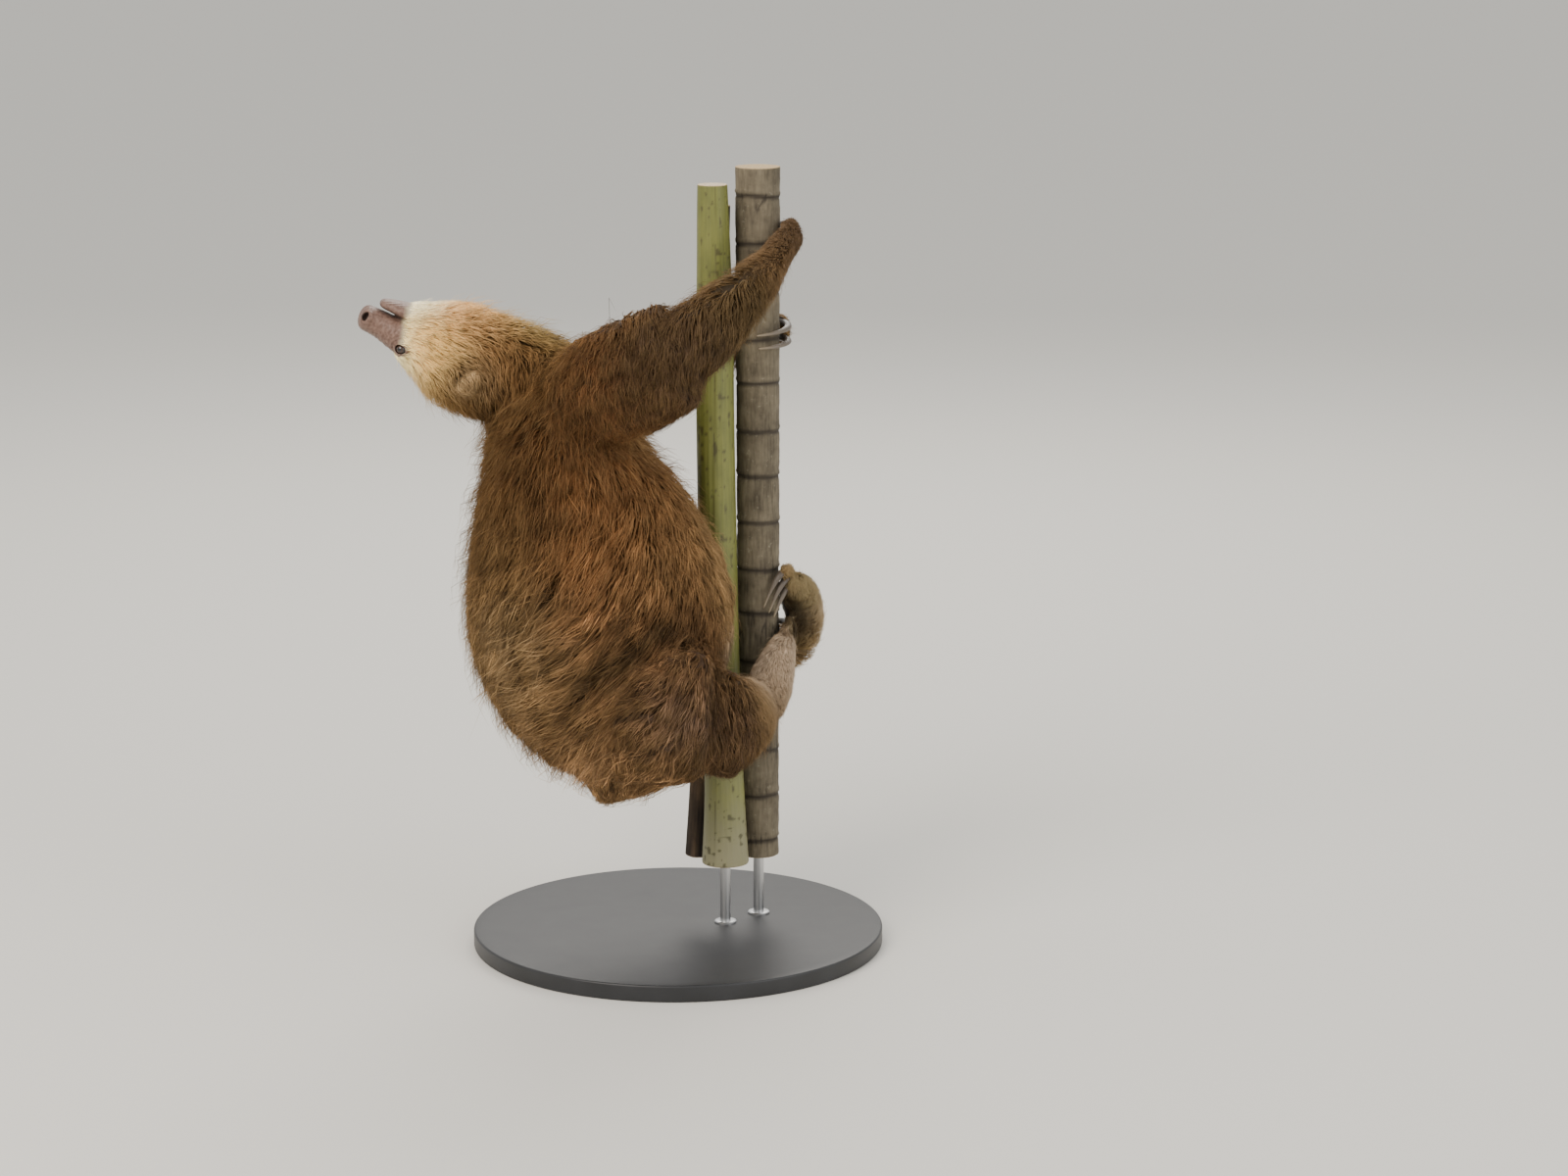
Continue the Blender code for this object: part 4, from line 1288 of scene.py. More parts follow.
    def layer(self, kind: TuftKind) -> list[Object]:
        """Builds one layer and splits it into pieces that each cover the whole animal.

        Args:
            kind: The layer.

        Returns:
            The pieces.
        """
        root, facing, flat = self.roots(kind)
        long_share = smooth_step(4 * MM, 20 * MM, self.plan.at(root)[:, 3])
        locks = Locks.among(root, self.lock_spacing)
        path, points = self.lay(kind, root, facing, long_share, locks)
        shown = path[:, 1] * 0.5 + path[:, 2] * 0.5  # the stretch of a tuft that others don't cover
        lock_tone = locks.tone[locks.of]
        tone = self.tones(kind, shown, facing, lock_tone, long_share)
        colour = self.plan.at(shown)[:, 5:8] * tone[:, None]
        gold = np.clip(0.5 + 0.32 * lock_tone + self.rng.normal(0, 0.25, kind.count), 0, 1) * long_share
        tufts = Tufts(points, flat, colour, gold, long_share)
        return [
            self.piece(f"{kind.name}_{number + 1}", tufts.some(np.arange(number, kind.count, kind.pieces)))
            for number in range(kind.pieces)
        ]

    @staticmethod
    def folds(points: Array) -> Array:
        """Painted shade from the folds and painted highlight from the crests: the product over them of
        tone^share.
        """
        return np.exp(sum(math.log(fold.tone) * fold.share(points) for fold in SHADE_AND_HIGHLIGHT_LINES))

    def tones(
        self, kind: TuftKind, shown: Array, facing: Array, lock_tone: Array, long_share: Array
    ) -> Array:
        """Brightness of each tuft: dark and light locks, streaky clumps, slow blotches, painted shade in
        hollows, and painted shade and highlight along the body's folds and crests.

        Args:
            kind: The layer.
            shown: The middle of the stretch of each tuft that shows.
            facing: The skin's outward direction at its root.
            lock_tone: Its lock's tone.
            long_share: How long the coat is there, 0 to 1.

        Returns:
            One factor per tuft.
        """
        coarse = self.coarse(shown)
        locks = np.exp((0.20 + 0.26 * coarse) * long_share * np.clip(lock_tone, -1.6, 1.6))
        flow, offset = self.plan.at(shown)[:, :3], shown - place_in("trunk", (0.5, 0.5, 0.3))
        across = offset - 0.66 * (offset * flow).sum(1, keepdims=True) * flow
        clumps = np.exp((0.10 + 0.50 * coarse) * long_share * lattice_noise(across, 11 * MM, 23))
        slow = 0.22 * lattice_noise(shown, 42 * MM, 21)
        quick = (0.16 + 0.14 * coarse) * lattice_noise(shown, 17 * MM, 22)
        blotch = np.exp(long_share * (slow + quick))
        # Painted shade: tufts in enclosed hollows are darkened by up to a half.
        fold = 1 - 0.5 * smooth_step(0.25, 0.85, self.hollow(shown, facing)) * long_share
        single = np.exp(self.rng.normal(0, 1, len(shown)) * (0.10 + 0.10 * coarse * long_share))
        short_fur = 1.35 - 0.35 * long_share
        return kind.tone * locks * clumps * blotch * fold * self.folds(shown) * single * short_fur

    def spikes(self, path: Array, out: Array, width: Array) -> Array:
        """Wraps each path in a closed spike.

        A ring's corners are path + width * profile * (cos a * side + flatness * sin a * up) at three
        angles a, and the profile falls from the root to the point.

        Args:
            path: Places as tuft, step, axis.
            out: Outward directions there.
            width: Each tuft's half width.

        Returns:
            Corners as tuft, corner, axis.
        """
        rings = self.steps
        ahead = unit(np.gradient(path, axis=1))
        side = unit(np.cross(ahead, out))
        up = np.cross(side, ahead)
        angle = np.radians([90.0, 210.0, 330.0])[None, None, :, None]
        reach = (width[:, None] * np.array(self.profile)[None])[:, :, None, None]
        spoke = np.cos(angle) * side[:, :rings, None] + self.flatness * np.sin(angle) * up[:, :rings, None]
        ring = path[:, :rings, None] + reach * spoke
        return np.concatenate([ring.reshape(len(path), rings * 3, 3), path[:, -1:]], axis=1)

    def spike_faces(self) -> Array:
        """One spike's triangles: its root's end, two for each side of a step, and a point."""
        faces = [[0, 1, 2]]
        for row in range(self.steps - 1):
            for k in range(3):
                a, b = row * 3 + k, row * 3 + (k + 1) % 3
                faces += [[a, a + 3, b], [b, a + 3, b + 3]]
        base, tip = (self.steps - 1) * 3, self.steps * 3
        return np.array(faces + [[base + k, tip, base + (k + 1) % 3] for k in range(3)])

    def piece(self, name: str, tufts: Tufts) -> Object:
        """Makes one coat piece and gives it its colours and its map, where each tuft is a patch at its root's
        place. Short fur is shaded less at its roots.

        Args:
            name: The piece's name.
            tufts: The tufts in it.

        Returns:
            The piece.
        """
        count, size = tufts.points.shape[:2]
        along = np.concatenate([np.repeat(np.arange(self.steps) / self.steps, 3), [1.0]])
        every = (self.spike_faces()[None] + (np.arange(count) * size)[:, None, None]).reshape(-1, 3)
        obj = new_object(name, tufts.points.reshape(-1, 3), [every])
        mesh = obj.data
        put_attribute(mesh, "coat_colour", np.repeat(tufts.colour, size, axis=0))
        put_attribute(mesh, "gold", np.repeat(tufts.gold, size))
        shade = 1 - (1 - along) * (0.4 + 0.6 * tufts.long_share[:, None])
        put_attribute(mesh, "along", shade.ravel())
        across = np.concatenate([np.tile([0.0, 0.5, 1.0], self.steps), [0.5]])
        local = (np.stack([across, along], axis=1) - 0.5) * self.patch
        corner_map = np.clip(tufts.flat[:, None] + local[None], 0.0005, 0.9995).reshape(-1, 2)
        loop_map = corner_map[every.ravel()].astype(np.float32)
        mesh.uv_layers.new(name="OFBake").data.foreach_set("uv", loop_map.ravel())
        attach(obj, BODY)
        return obj

    def build(self, finish: CoatHair) -> None:
        """Builds and dresses every layer."""
        material = finish.build()
        for kind in (UNDER, GUARD, SHORT):
            for obj in self.layer(kind):
                dress(obj, material)
                LOG.info("%s: %d triangles", obj.name, len(obj.data.polygons))


# ---- eyes and claws ----


@dataclass
class Eye:
    """One eyeball, a sphere with a cornea that bulges along the gaze. Sizes in millimetres."""

    frame: HeadFrame
    side: Side
    axes: Array  # rows along the lids, upright, and out along the gaze
    radius: float = 6.35
    bulge: float = 0.6
    cornea_angle: float = 30.0

    def build(self, material: Material) -> Object:
        """Sphere of radius r + bulge * exp(-(angle off the gaze / cornea angle)^4), its pole on the gaze."""
        down = np.linspace(0.02, math.pi - 0.02, 40)[:, None]
        around = full_turn(48)[None]
        reach = self.radius + self.bulge * np.exp(-((np.degrees(down) / self.cornea_angle) ** 4))
        wide = reach * np.sin(down)
        axes = [wide * np.cos(around), wide * np.sin(around), reach * np.cos(down) + 0 * around]
        local = np.stack(axes, axis=-1)
        centre = self.frame.on(self.side, self.frame.eye_at)
        obj = closed_tube(f"eyeball_{self.side.label}", self.frame.to_world(centre + local @ self.axes))
        angle = np.concatenate([np.repeat(np.degrees(down.ravel()), around.size), [0.0, 180.0]])
        put_attribute(obj.data, "off_gaze", angle / 90.0)
        dress(obj, material)
        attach(obj, BODY)
        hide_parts(f"eye_{self.side.label}")
        return obj


@dataclass(frozen=True)
class ClawPlan:
    """The claws of one hand or foot, round the ringed stem: (start angle, end angle, start height, end
    height) in degrees from +X and millimetres, and their distance from the stem's axis at root and tip."""

    claws: tuple[Quad, ...]
    orbit: Pair
    droop: float = 1.0  # above 1, the root stays level and the tip bends down


CLAW_PLANS = {
    "hand_right": ClawPlan(((4, 128, 682, 676), (4, 128, 667, 662)), (29.0, 26.5)),
    "hand_left": ClawPlan(((50, -92, 589, 581), (50, -88, 574, 569)), (28.5, 25.5)),
    "foot_right": ClawPlan(((-4, 106, 302, 299), (-4, 110, 292, 290), (-4, 106, 282, 281)), (28.5, 25.0)),
    "foot_left": ClawPlan(((-32, -78, 356, 322), (-20, -66, 349, 317), (-8, -54, 342, 312)), (30, 25), 1.9),
}


@dataclass
class Claws:
    """All ten claws: long hooks, round outside and flat inside, that taper to a blunt point."""

    rings: int = 44
    sides: int = 18
    root: Pair = (3.7, 5.0)  # half width and half depth, mm
    tip: Pair = (0.8, 0.9)
    taper: float = 1.35
    inner_share: float = 0.72

    def one(self, name: str, claw: Quad, plan: ClawPlan) -> Object:
        """A claw along an arc about the ringed stem.

        At share s its middle is at angle a0 + (a1 - a0) s, at distance r0 + (r1 - r0) s from the stem's axis
        and at height z0 + (z1 - z0) s^droop, and its section's half sizes are root + (tip - root) s^taper.
        The inner side is drawn in to a share of the outer, and fine ridges run round it.

        Args:
            name: The CAD node that it stands for.
            claw: Start and end angle, start and end height.
            plan: Its hand's or foot's plan.

        Returns:
            The claw.
        """
        low, high = box_of("perch_ringed_stem")
        axis = (low + high)[:2] / 2
        share = np.concatenate([np.linspace(0, 0.96, self.rings - 6), np.linspace(0.968, 1.0, 6)])
        angle = np.radians(claw[0] + (claw[1] - claw[0]) * share)
        reach = (plan.orbit[0] + (plan.orbit[1] - plan.orbit[0]) * share) * MM
        height = (claw[2] + (claw[3] - claw[2]) * share**plan.droop) * MM
        middle = np.stack([axis[0] + reach * np.cos(angle), axis[1] + reach * np.sin(angle), height], axis=1)
        ahead = unit(np.gradient(middle, axis=0))
        outward = np.stack([np.cos(angle), np.sin(angle), 0 * angle], axis=1)
        outward = unit(outward - (outward * ahead).sum(1, keepdims=True) * ahead)
        upright = np.cross(ahead, outward)
        half = np.array(self.root) + (np.array(self.tip) - np.array(self.root)) * share[:, None] ** self.taper
        half *= np.sqrt(np.clip(1 - ((share - 0.95) / 0.0515).clip(0) ** 2, 0.02, 1))[:, None]
        half *= 1 + 0.012 * np.sin(share * 90.0)[:, None] + 0.008 * np.sin(share * 211.0)[:, None]
        turn = full_turn(self.sides)
        lift = np.where(np.sin(turn) > 0, np.sin(turn), self.inner_share * np.sin(turn))
        rings = (
            middle[:, None]
            + (half[:, :1, None] * np.cos(turn)[None, :, None] * upright[:, None]) * MM
            + (half[:, 1:, None] * lift[None, :, None] * outward[:, None]) * MM
        )
        obj = closed_tube("horn_" + name, rings)
        put_attribute(obj.data, "along", np.concatenate([np.repeat(share, self.sides), [0.0, 1.0]]))
        put_attribute(obj.data, "round", np.concatenate([np.tile(np.sin(turn), len(share)), [0.0, 0.0]]))
        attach(obj, BODY)
        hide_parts(name)
        return obj

    def build(self, material: Material) -> None:
        """Builds and dresses every claw."""
        for limb, plan in CLAW_PLANS.items():
            for number, claw in enumerate(plan.claws, 1):
                dress(self.one(f"claw_{limb}_{number}", claw, plan), material)


# ---- perch ----


@dataclass
class PerchStem:
    """One sawn length of a palm stem. Rows are x, y, z and radius in millimetres, from its foot up."""

    node: str
    slot: str
    rows: tuple[Quad, ...]
    columns: int = 96
    step: float = 2.2  # mm between rings
    rounding: float = 0.8  # mm, of the sawn edges
    plain_radius: float = 20.0  # mm, of the cylinder that its noise is read on

    def noise(self, around: Array, height: Array, cell: float, seed: int, along: float = 1.0) -> Array:
        """Noise that closes round the stem: it is read on a plain cylinder.

        Args:
            around: Angles, as one row.
            height: Heights in millimetres, as one column.
            cell: The noise's size across the stem, in millimetres.
            seed: Picks the noise.
            along: What heights count for, so that the noise is drawn out along the stem by the inverse.

        Returns:
            One value for each height and angle.
        """
        x, y = self.plain_radius * np.cos(around), self.plain_radius * np.sin(around)
        places = np.stack(np.broadcast_arrays(x, y, height * along), axis=-1)
        return lattice_noise(places.reshape(-1, 3), cell, seed).reshape(places.shape[:2])

    def push_out(self, points: Array, clear: float) -> Array:
        """Moves places that are inside the stem out to its surface, straight away from its line.

        Args:
            points: Places in metres.
            clear: How far outside the surface they end, in metres.

        Returns:
            The places.
        """
        x, y, z, radius = np.array(self.rows).T * MM
        line = np.stack([np.interp(points[:, 2], z, x), np.interp(points[:, 2], z, y)], axis=1)
        away = points[:, :2] - line
        gap = np.linalg.norm(away, axis=1, keepdims=True)
        wanted = np.interp(points[:, 2], z, radius)[:, None] + clear
        moved = points.copy()
        moved[:, :2] += np.where(gap < wanted, away / np.maximum(gap, 1e-9) * (wanted - gap), 0.0)
        return moved

    def relief(self, around: Array, height: Array) -> tuple[Array, Array]:
        """How far the surface stands out, in millimetres, and how much darker it is there, from 0 to 1. A
        plain stem has none.
        """
        return 0 * (around + height), 0 * (around + height)

    def build(self, material: Material) -> Object:
        """Carries rings up the stem's line: each corner is at radius + relief(angle, height), and both sawn
        ends are closed by rings that shrink to the middle."""
        count = int((self.rows[-1][2] - self.rows[0][2]) / self.step)
        x, y, z, radius = curve_rows(self.rows, count).T[:, :, None]
        around = full_turn(self.columns)[None]
        out, wear = self.relief(around, z)
        reach = radius + out
        side = np.stack([x + reach * np.cos(around), y + reach * np.sin(around), z + 0 * around], axis=-1)
        shares = np.array([0.03, 0.2, 0.4, 0.6, 0.75, 0.87, 0.95, 0.985])
        ends = (side[0], side[-1])
        caps = [ring.mean(0) + (ring - ring.mean(0)) * shares[:, None, None] for ring in ends]
        side[0, :, 2] += self.rounding
        side[-1, :, 2] -= self.rounding
        rings = np.concatenate([caps[0], side, caps[1][::-1]])
        obj = closed_tube(self.node.replace("perch", "palm"), rings * MM)
        cut = np.concatenate([np.ones(len(shares)), np.zeros(count), np.ones(len(shares))])
        put_attribute(obj.data, "cut", np.concatenate([np.repeat(cut, self.columns), [1.0, 1.0]]))
        blank = np.zeros((len(shares), self.columns))
        put_attribute(obj.data, "wear", np.concatenate([*blank, *wear, *blank, [0.0, 0.0]]))
        dress(obj, material)
        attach(obj, BODY)
        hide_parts(self.node)
        return obj


@dataclass
class RingedStem(PerchStem):
    """The main stem, ringed by old leaf scars and cracked along its length."""

    scars: Pair = (98.0, 730.0)  # mm up, from the first to past the last
    scar_spacing: float = 44.0

    def relief(self, around: Array, height: Array) -> tuple[Array, Array]:
        """Each scar is a lip exp(-(d/1.5)^2) over a groove -exp(-((d+3.4)/1.7)^2), d being the height above a
        line that tilts and wavers round the stem. Cracks are where stretched noise passes near zero."""
        rng, noise = np.random.default_rng(SEED + 5), partial(self.noise, around, height)
        out = 0.34 * noise(11.0, 31) + 0.16 * noise(3.4, 32)
        wear = np.zeros(out.shape)
        waver = 0.7 * noise(8.0, 33, 0.2)
        for scar in np.arange(*self.scars, self.scar_spacing):
            tilt, turn = rng.uniform(0.2, 1.6), rng.uniform(0, 2 * math.pi)
            d = height - (scar - 1 + rng.uniform(-3, 1.5)) - tilt * np.cos(around - turn) - waver
            out += 0.85 * bell(d / 1.5) - 0.75 * bell((d + 3.4) / 1.7)
            wear = np.maximum(wear, bell((d + 2.6) / 2.4))
        deep = bell(noise(5.2, 34, 0.13) / 0.07) * smooth_step(-0.1, 0.5, noise(30.0, 35))
        out -= 0.6 * deep
        return out - 0.15, np.clip(wear + 0.8 * deep, 0, 1)


@dataclass
class GreenStalk(PerchStem):
    """A living leaf stalk, smooth and faintly ribbed, with the edge of its sheath running up it."""

    plain_radius: float = 18.0
    ribs: int = 26

    def relief(self, around: Array, height: Array) -> tuple[Array, Array]:
        """Ribs 0.12 cos(ribs * a), slow swellings, and one overlapping edge that winds up the stalk."""
        out = 0.12 * np.cos(self.ribs * around) + 0.3 * self.noise(around, height, 14.0, 41, 0.3)
        turn = np.mod(around - 4.1 - height / 900.0, 2 * math.pi)
        edge = smooth_step(0.0, 0.05, turn) * (1 - smooth_step(0.05, 0.9, turn))
        specks = smooth_step(0.52, 0.7, self.noise(around, height, 4.2, 42))
        return out + 0.55 * edge - 0.3, np.clip(0.8 * specks + 0.7 * bell(turn / 0.04), 0, 1)


@dataclass
class BrownStem(PerchStem):
    """A dead stem in loose, fibrous strips."""

    plain_radius: float = 14.0

    def relief(self, around: Array, height: Array) -> tuple[Array, Array]:
        """Fibres are noise stretched 12 times along the stem; strips are coarser noise, stretched 6 times."""
        strips = self.noise(around, height, 6.0, 51, 0.16)
        fibres = self.noise(around, height, 1.9, 52, 0.08)
        return 0.7 * strips + 0.3 * fibres - 0.6, np.clip(0.5 - 0.7 * strips - 0.3 * fibres, 0, 1)


def perch_stems() -> tuple[PerchStem, ...]:
    """The three stems of the clump."""
    low, high = (corner / MM for corner in box_of("perch_ringed_stem"))
    x, y = (low + high)[:2] / 2
    return (
        RingedStem(
            "perch_ringed_stem",
            "ringed_bark",
            ((x, y, low[2], 19.5), (x, y, 400.0, 20.2), (x, y, high[2], 21.0)),
        ),
        GreenStalk(
            "perch_green_stalk",
            "green_stalk",
            (
                (45.0, 5.0, 76.0, 22.5),
                (44.0, 9.0, 150.0, 19.0),
                (41.0, 12.0, 270.0, 18.2),
                (37.5, 13.0, 450.0, 18.2),
                (36.5, 12.0, 600.0, 17.0),
                (35.0, 11.0, 722.0, 14.0),
            ),
        ),
        BrownStem(
            "perch_brown_stem",
            "brown_stem",
            ((21, 33, 76, 15.5), (27, 38, 200, 14.5), (33, 42.5, 450, 13.0), (41, 35, 700, 11.0)),
            columns=64,
        ),
    )


# ---- display stand ----


@dataclass
class DisplayStand:
    """A round wooden base and two steel rods, each in a low collar. Sizes are in millimetres."""

    columns: int = 160
    rod_columns: int = 48
    edge: float = 2.0
    collar_height: float = 2.4
    collar_reach: float = 2.1  # times the rod's radius
    inside: float = 0.3  # share of a rod's radius that its end faces start at

    def turned(self, name: str, node: str, profile: Array, columns: int) -> Object:
        """Turns a profile of (radius, height), in metres, about the upright line of a CAD node."""
        low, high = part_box(node)
        around = full_turn(columns)
        radius, height = profile[:, :1], profile[:, 1:]
        x, y = (low.x + high.x) / 2, (low.y + high.y) / 2
        wide = [x + radius * np.cos(around), y + radius * np.sin(around)]
        obj = closed_tube(name, np.stack([*wide, height + 0 * around], axis=-1))
        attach(obj, BODY)
        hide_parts(node)
        return obj

    def fillet(self, radius: float, height: float, size: float, up: int) -> Array:
        """A quarter circle of `size` from a disc's face to its wall: outward below, inward above."""
        angle = np.linspace(0, math.pi / 2, 7)
        near, far = size * (1 - np.cos(angle)), size * (1 - np.sin(angle))
        if up > 0:
            return np.stack([radius - near, height - far], axis=1)
        return np.stack([radius - far, height + near], axis=1)

    def build(self, coat: Material, steel: Material) -> None:
        """Turns the base, then the rods."""
        low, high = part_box("stand_base")
        radius, size = (high.x - low.x) / 2, self.edge * MM
        under = np.array([[0.01, low.z], [radius * 0.5, low.z]])
        inward = (radius - 6 * size, radius * 0.66, radius * 0.33, 0.01)
        over = np.array([[reach, high.z] for reach in inward])
        edges = [self.fillet(radius, low.z, size, -1), self.fillet(radius, high.z, size, 1)]
        profile = np.vstack([under, *edges, over])
        dress(self.turned("base_disc", "stand_base", profile, self.columns), coat)
        for name in ("stand_rod_ringed", "stand_rod_green"):
            rod_low, rod_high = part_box(name)
            thick = (rod_high.x - rod_low.x) / 2
            foot, collar = high.z - 0.4 * MM, high.z + self.collar_height * MM
            profile = np.array(
                [
                    [self.inside * thick, rod_low.z + 1 * MM],
                    [thick, rod_low.z + 1 * MM],
                    [thick, foot],
                    [self.collar_reach * thick, foot],
                    [self.collar_reach * thick, collar - 0.9 * MM],
                    [2.0 * thick, collar - 0.3 * MM],
                    [1.8 * thick, collar],
                    [thick + 0.1 * MM, collar],
                    [thick, collar + 0.1 * MM],
                    [thick, rod_high.z - 0.5 * MM],
                    [0.9 * thick, rod_high.z],
                    [self.inside * thick, rod_high.z],
                ]
            )
            obj = self.turned(name.replace("stand", "steel"), name, profile, self.rod_columns)
            obj.data.set_sharp_from_angle(angle=math.radians(35))
            dress(obj, steel)


# ---- finishes ----


SMOOTH = {"interpolation_type": "SMOOTHSTEP"}
COLOURS = {"data_type": "RGBA"}
FACTOR, UNDER_COLOUR, OVER_COLOUR, MIXED = 0, 6, 7, 2  # sockets of a Mix node that mixes colours


def fill_sockets(node: Node, inputs: dict) -> None:
    """Sets each socket to its value, or links it to another node's output."""
    for key, value in inputs.items():
        if isinstance(value, NodeSocket):
            node.id_data.links.new(value, node.inputs[key])
        else:
            node.inputs[key].default_value = value


def add_node(
    tree: NodeTree, kind: str, output: str | int, inputs: dict | None = None, **settings: object
) -> NodeSocket:
    """Adds a node.

    Args:
        tree: The material's nodes.
        kind: The node's type, without "ShaderNode" in front.
        output: Which of its outputs is wanted.
        inputs: Values for its sockets, or other nodes' outputs to link to them.
        settings: Its properties. `stops` on a colour ramp are pairs of a place and a hex colour.

    Returns:
        That output.
    """
    node = tree.nodes.new("ShaderNode" + kind)
    for key, value in settings.items():
        if key != "stops":
            setattr(node, key, value)
            continue
        ramp = node.color_ramp
        while len(ramp.elements) < len(value):
            ramp.elements.new(0.5)
        for element, (place, colour) in zip(ramp.elements, value):
            element.position, element.color = place, linear(colour)
    fill_sockets(node, inputs or {})
    return node.outputs[output]


def new_material(name: str) -> tuple[Material, Callable[..., NodeSocket], Node]:
    """A material with nodes, add_node for its own tree, and its Principled shader."""
    material = bpy.data.materials.new(name)
    material.use_nodes = True
    tree = material.node_tree
    return material, partial(add_node, tree), tree.nodes["Principled BSDF"]


@dataclass(frozen=True)
class CoatHair:
    """Sloth guard hair: coarse, matt and grooved, with painted shade at the root and a gold tip that is
    partly the hair's own tone and partly painted light for tips lit from behind.
    """

    name: str = "Sloth_guard_hair"
    root_shade: float = 0.5
    # above 1: painted light on the outer part of each tuft
    end_shade: float = 1.15
    shade_ends: float = 0.75  # share along a tuft where the root's shade is gone
    # the gold tip: partly the hair's own pale tips, partly painted light for tips lit from behind
    tip: str = "bb9d70"
    tip_starts: float = 0.35  # share along a tuft
    tip_share: float = 0.40
    roughness: float = 0.62
    gloss: float = 0.18  # specular level: grooved hair reflects less than smooth
    sheen: float = 0.22
    sheen_roughness: float = 0.5
    sheen_tint: str = "c99a5a"

    def build(self) -> Material:
        """Colour: markings, with painted shade towards the root, and mixed with gold towards the tip."""
        material, add, shader = new_material(self.name)
        colour = add("Attribute", "Color", attribute_name="coat_colour")
        along = add("Attribute", "Fac", attribute_name="along")
        gold = add("Attribute", "Fac", attribute_name="gold")
        rise = {"Value": along, "From Max": self.shade_ends}
        rise |= {"To Min": self.root_shade, "To Max": self.end_shade}
        shade = add("MapRange", "Result", rise, **SMOOTH)
        shaded = add("VectorMath", "Vector", {0: colour, "Scale": shade}, operation="SCALE")
        bleach = {"Value": along, "From Min": self.tip_starts, "To Max": self.tip_share}
        end = add("MapRange", "Result", bleach, **SMOOTH)
        share = add("Math", "Value", {0: end, 1: gold}, operation="MULTIPLY")
        tone = {FACTOR: share, UNDER_COLOUR: shaded, OVER_COLOUR: linear(self.tip)}
        looks = {
            "Base Color": add("Mix", MIXED, tone, **COLOURS),
            "Roughness": self.roughness,
            "Sheen Weight": self.sheen,
            "Sheen Roughness": self.sheen_roughness,
            "Sheen Tint": linear(self.sheen_tint),
            "Specular IOR Level": self.gloss,
        }
        fill_sockets(shader, looks)
        return material


@dataclass(frozen=True)
class Hide:
    """Skin: darkened under the coat as painted shade between the tufts, and bare, creased and pinkish grey on
    snout, lids, palms and soles.
    """

    name: str = "Sloth_skin"
    bare_dark: str = "664e44"
    bare_light: str = "82685c"
    # dark palm skin, and painted shade in the nostrils, round the eyes and between the lips
    dark: str = "2c211d"
    under_coat: float = 0.36  # painted shade: brightness of furred skin, as a share of the fur's
    mottles: float = 330.0  # per metre, so 3 mm each
    pores: float = 1100.0  # per metre, so 0.9 mm each
    gloss: float = 0.32  # specular level

    def build(self) -> Material:
        """Bare colour by mottling, furred colour from the markings darkened as painted shade, with pores and
        hair stubble as bump.
        """
        material, add, shader = new_material(self.name)
        place = add("TexCoord", "Object")
        colour = add("Attribute", "Color", attribute_name="coat_colour")
        bare = add("Attribute", "Fac", attribute_name="bare")
        dark = add("Attribute", "Fac", attribute_name="dark")
        blotch = add("TexNoise", "Fac", {"Vector": place, "Scale": self.mottles, "Detail": 4.0})
        stops = [(0.35, self.bare_dark), (0.65, self.bare_light)]
        flesh = add("ValToRGB", "Color", {"Fac": blotch}, stops=stops)
        fur = {0: colour, "Scale": self.under_coat}
        under = add("VectorMath", "Vector", fur, operation="SCALE")
        deep = {FACTOR: dark, UNDER_COLOUR: flesh, OVER_COLOUR: linear(self.dark)}
        naked = add("Mix", MIXED, deep, **COLOURS)
        both = {FACTOR: bare, UNDER_COLOUR: under, OVER_COLOUR: naked}
        pores = add("TexVoronoi", "Distance", {"Vector": place, "Scale": self.pores})
        looks = {
            "Base Color": add("Mix", MIXED, both, **COLOURS),
            "Normal": add("Bump", "Normal", {"Height": pores, "Strength": 0.5, "Distance": 0.0003}),
            "Roughness": add("MapRange", "Result", {"Value": bare, "To Min": 0.85, "To Max": 0.45}),
            "Specular IOR Level": self.gloss,
        }
        fill_sockets(shader, looks)
        return material


@dataclass(frozen=True)
class EyeGloss:
    """A wet cornea over a dark brown iris: mirror-smooth, with a black pupil and a darker rim."""

    name: str = "Wet_cornea"
    # share of a right angle from the gaze, and colour: pupil, iris, rim, white
    zones: tuple[tuple[float, str], ...] = (
        *((0.0, "050403"), (0.17, "060403"), (0.20, "3b2313")),
        *((0.36, "2c190d"), (0.42, "0d0805"), (1.0, "1c120c")),
    )

    def build(self) -> Material:
        """Colour by the angle from the gaze."""
        material, add, shader = new_material(self.name)
        angle = add("Attribute", "Fac", attribute_name="off_gaze")
        looks = {
            "Base Color": add("ValToRGB", "Color", {"Fac": angle}, stops=self.zones),
            "Roughness": 0.06,
            "IOR": 1.38,
            "Coat Weight": 1.0,
            "Coat Roughness": 0.02,
        }
        fill_sockets(shader, looks)
        return material


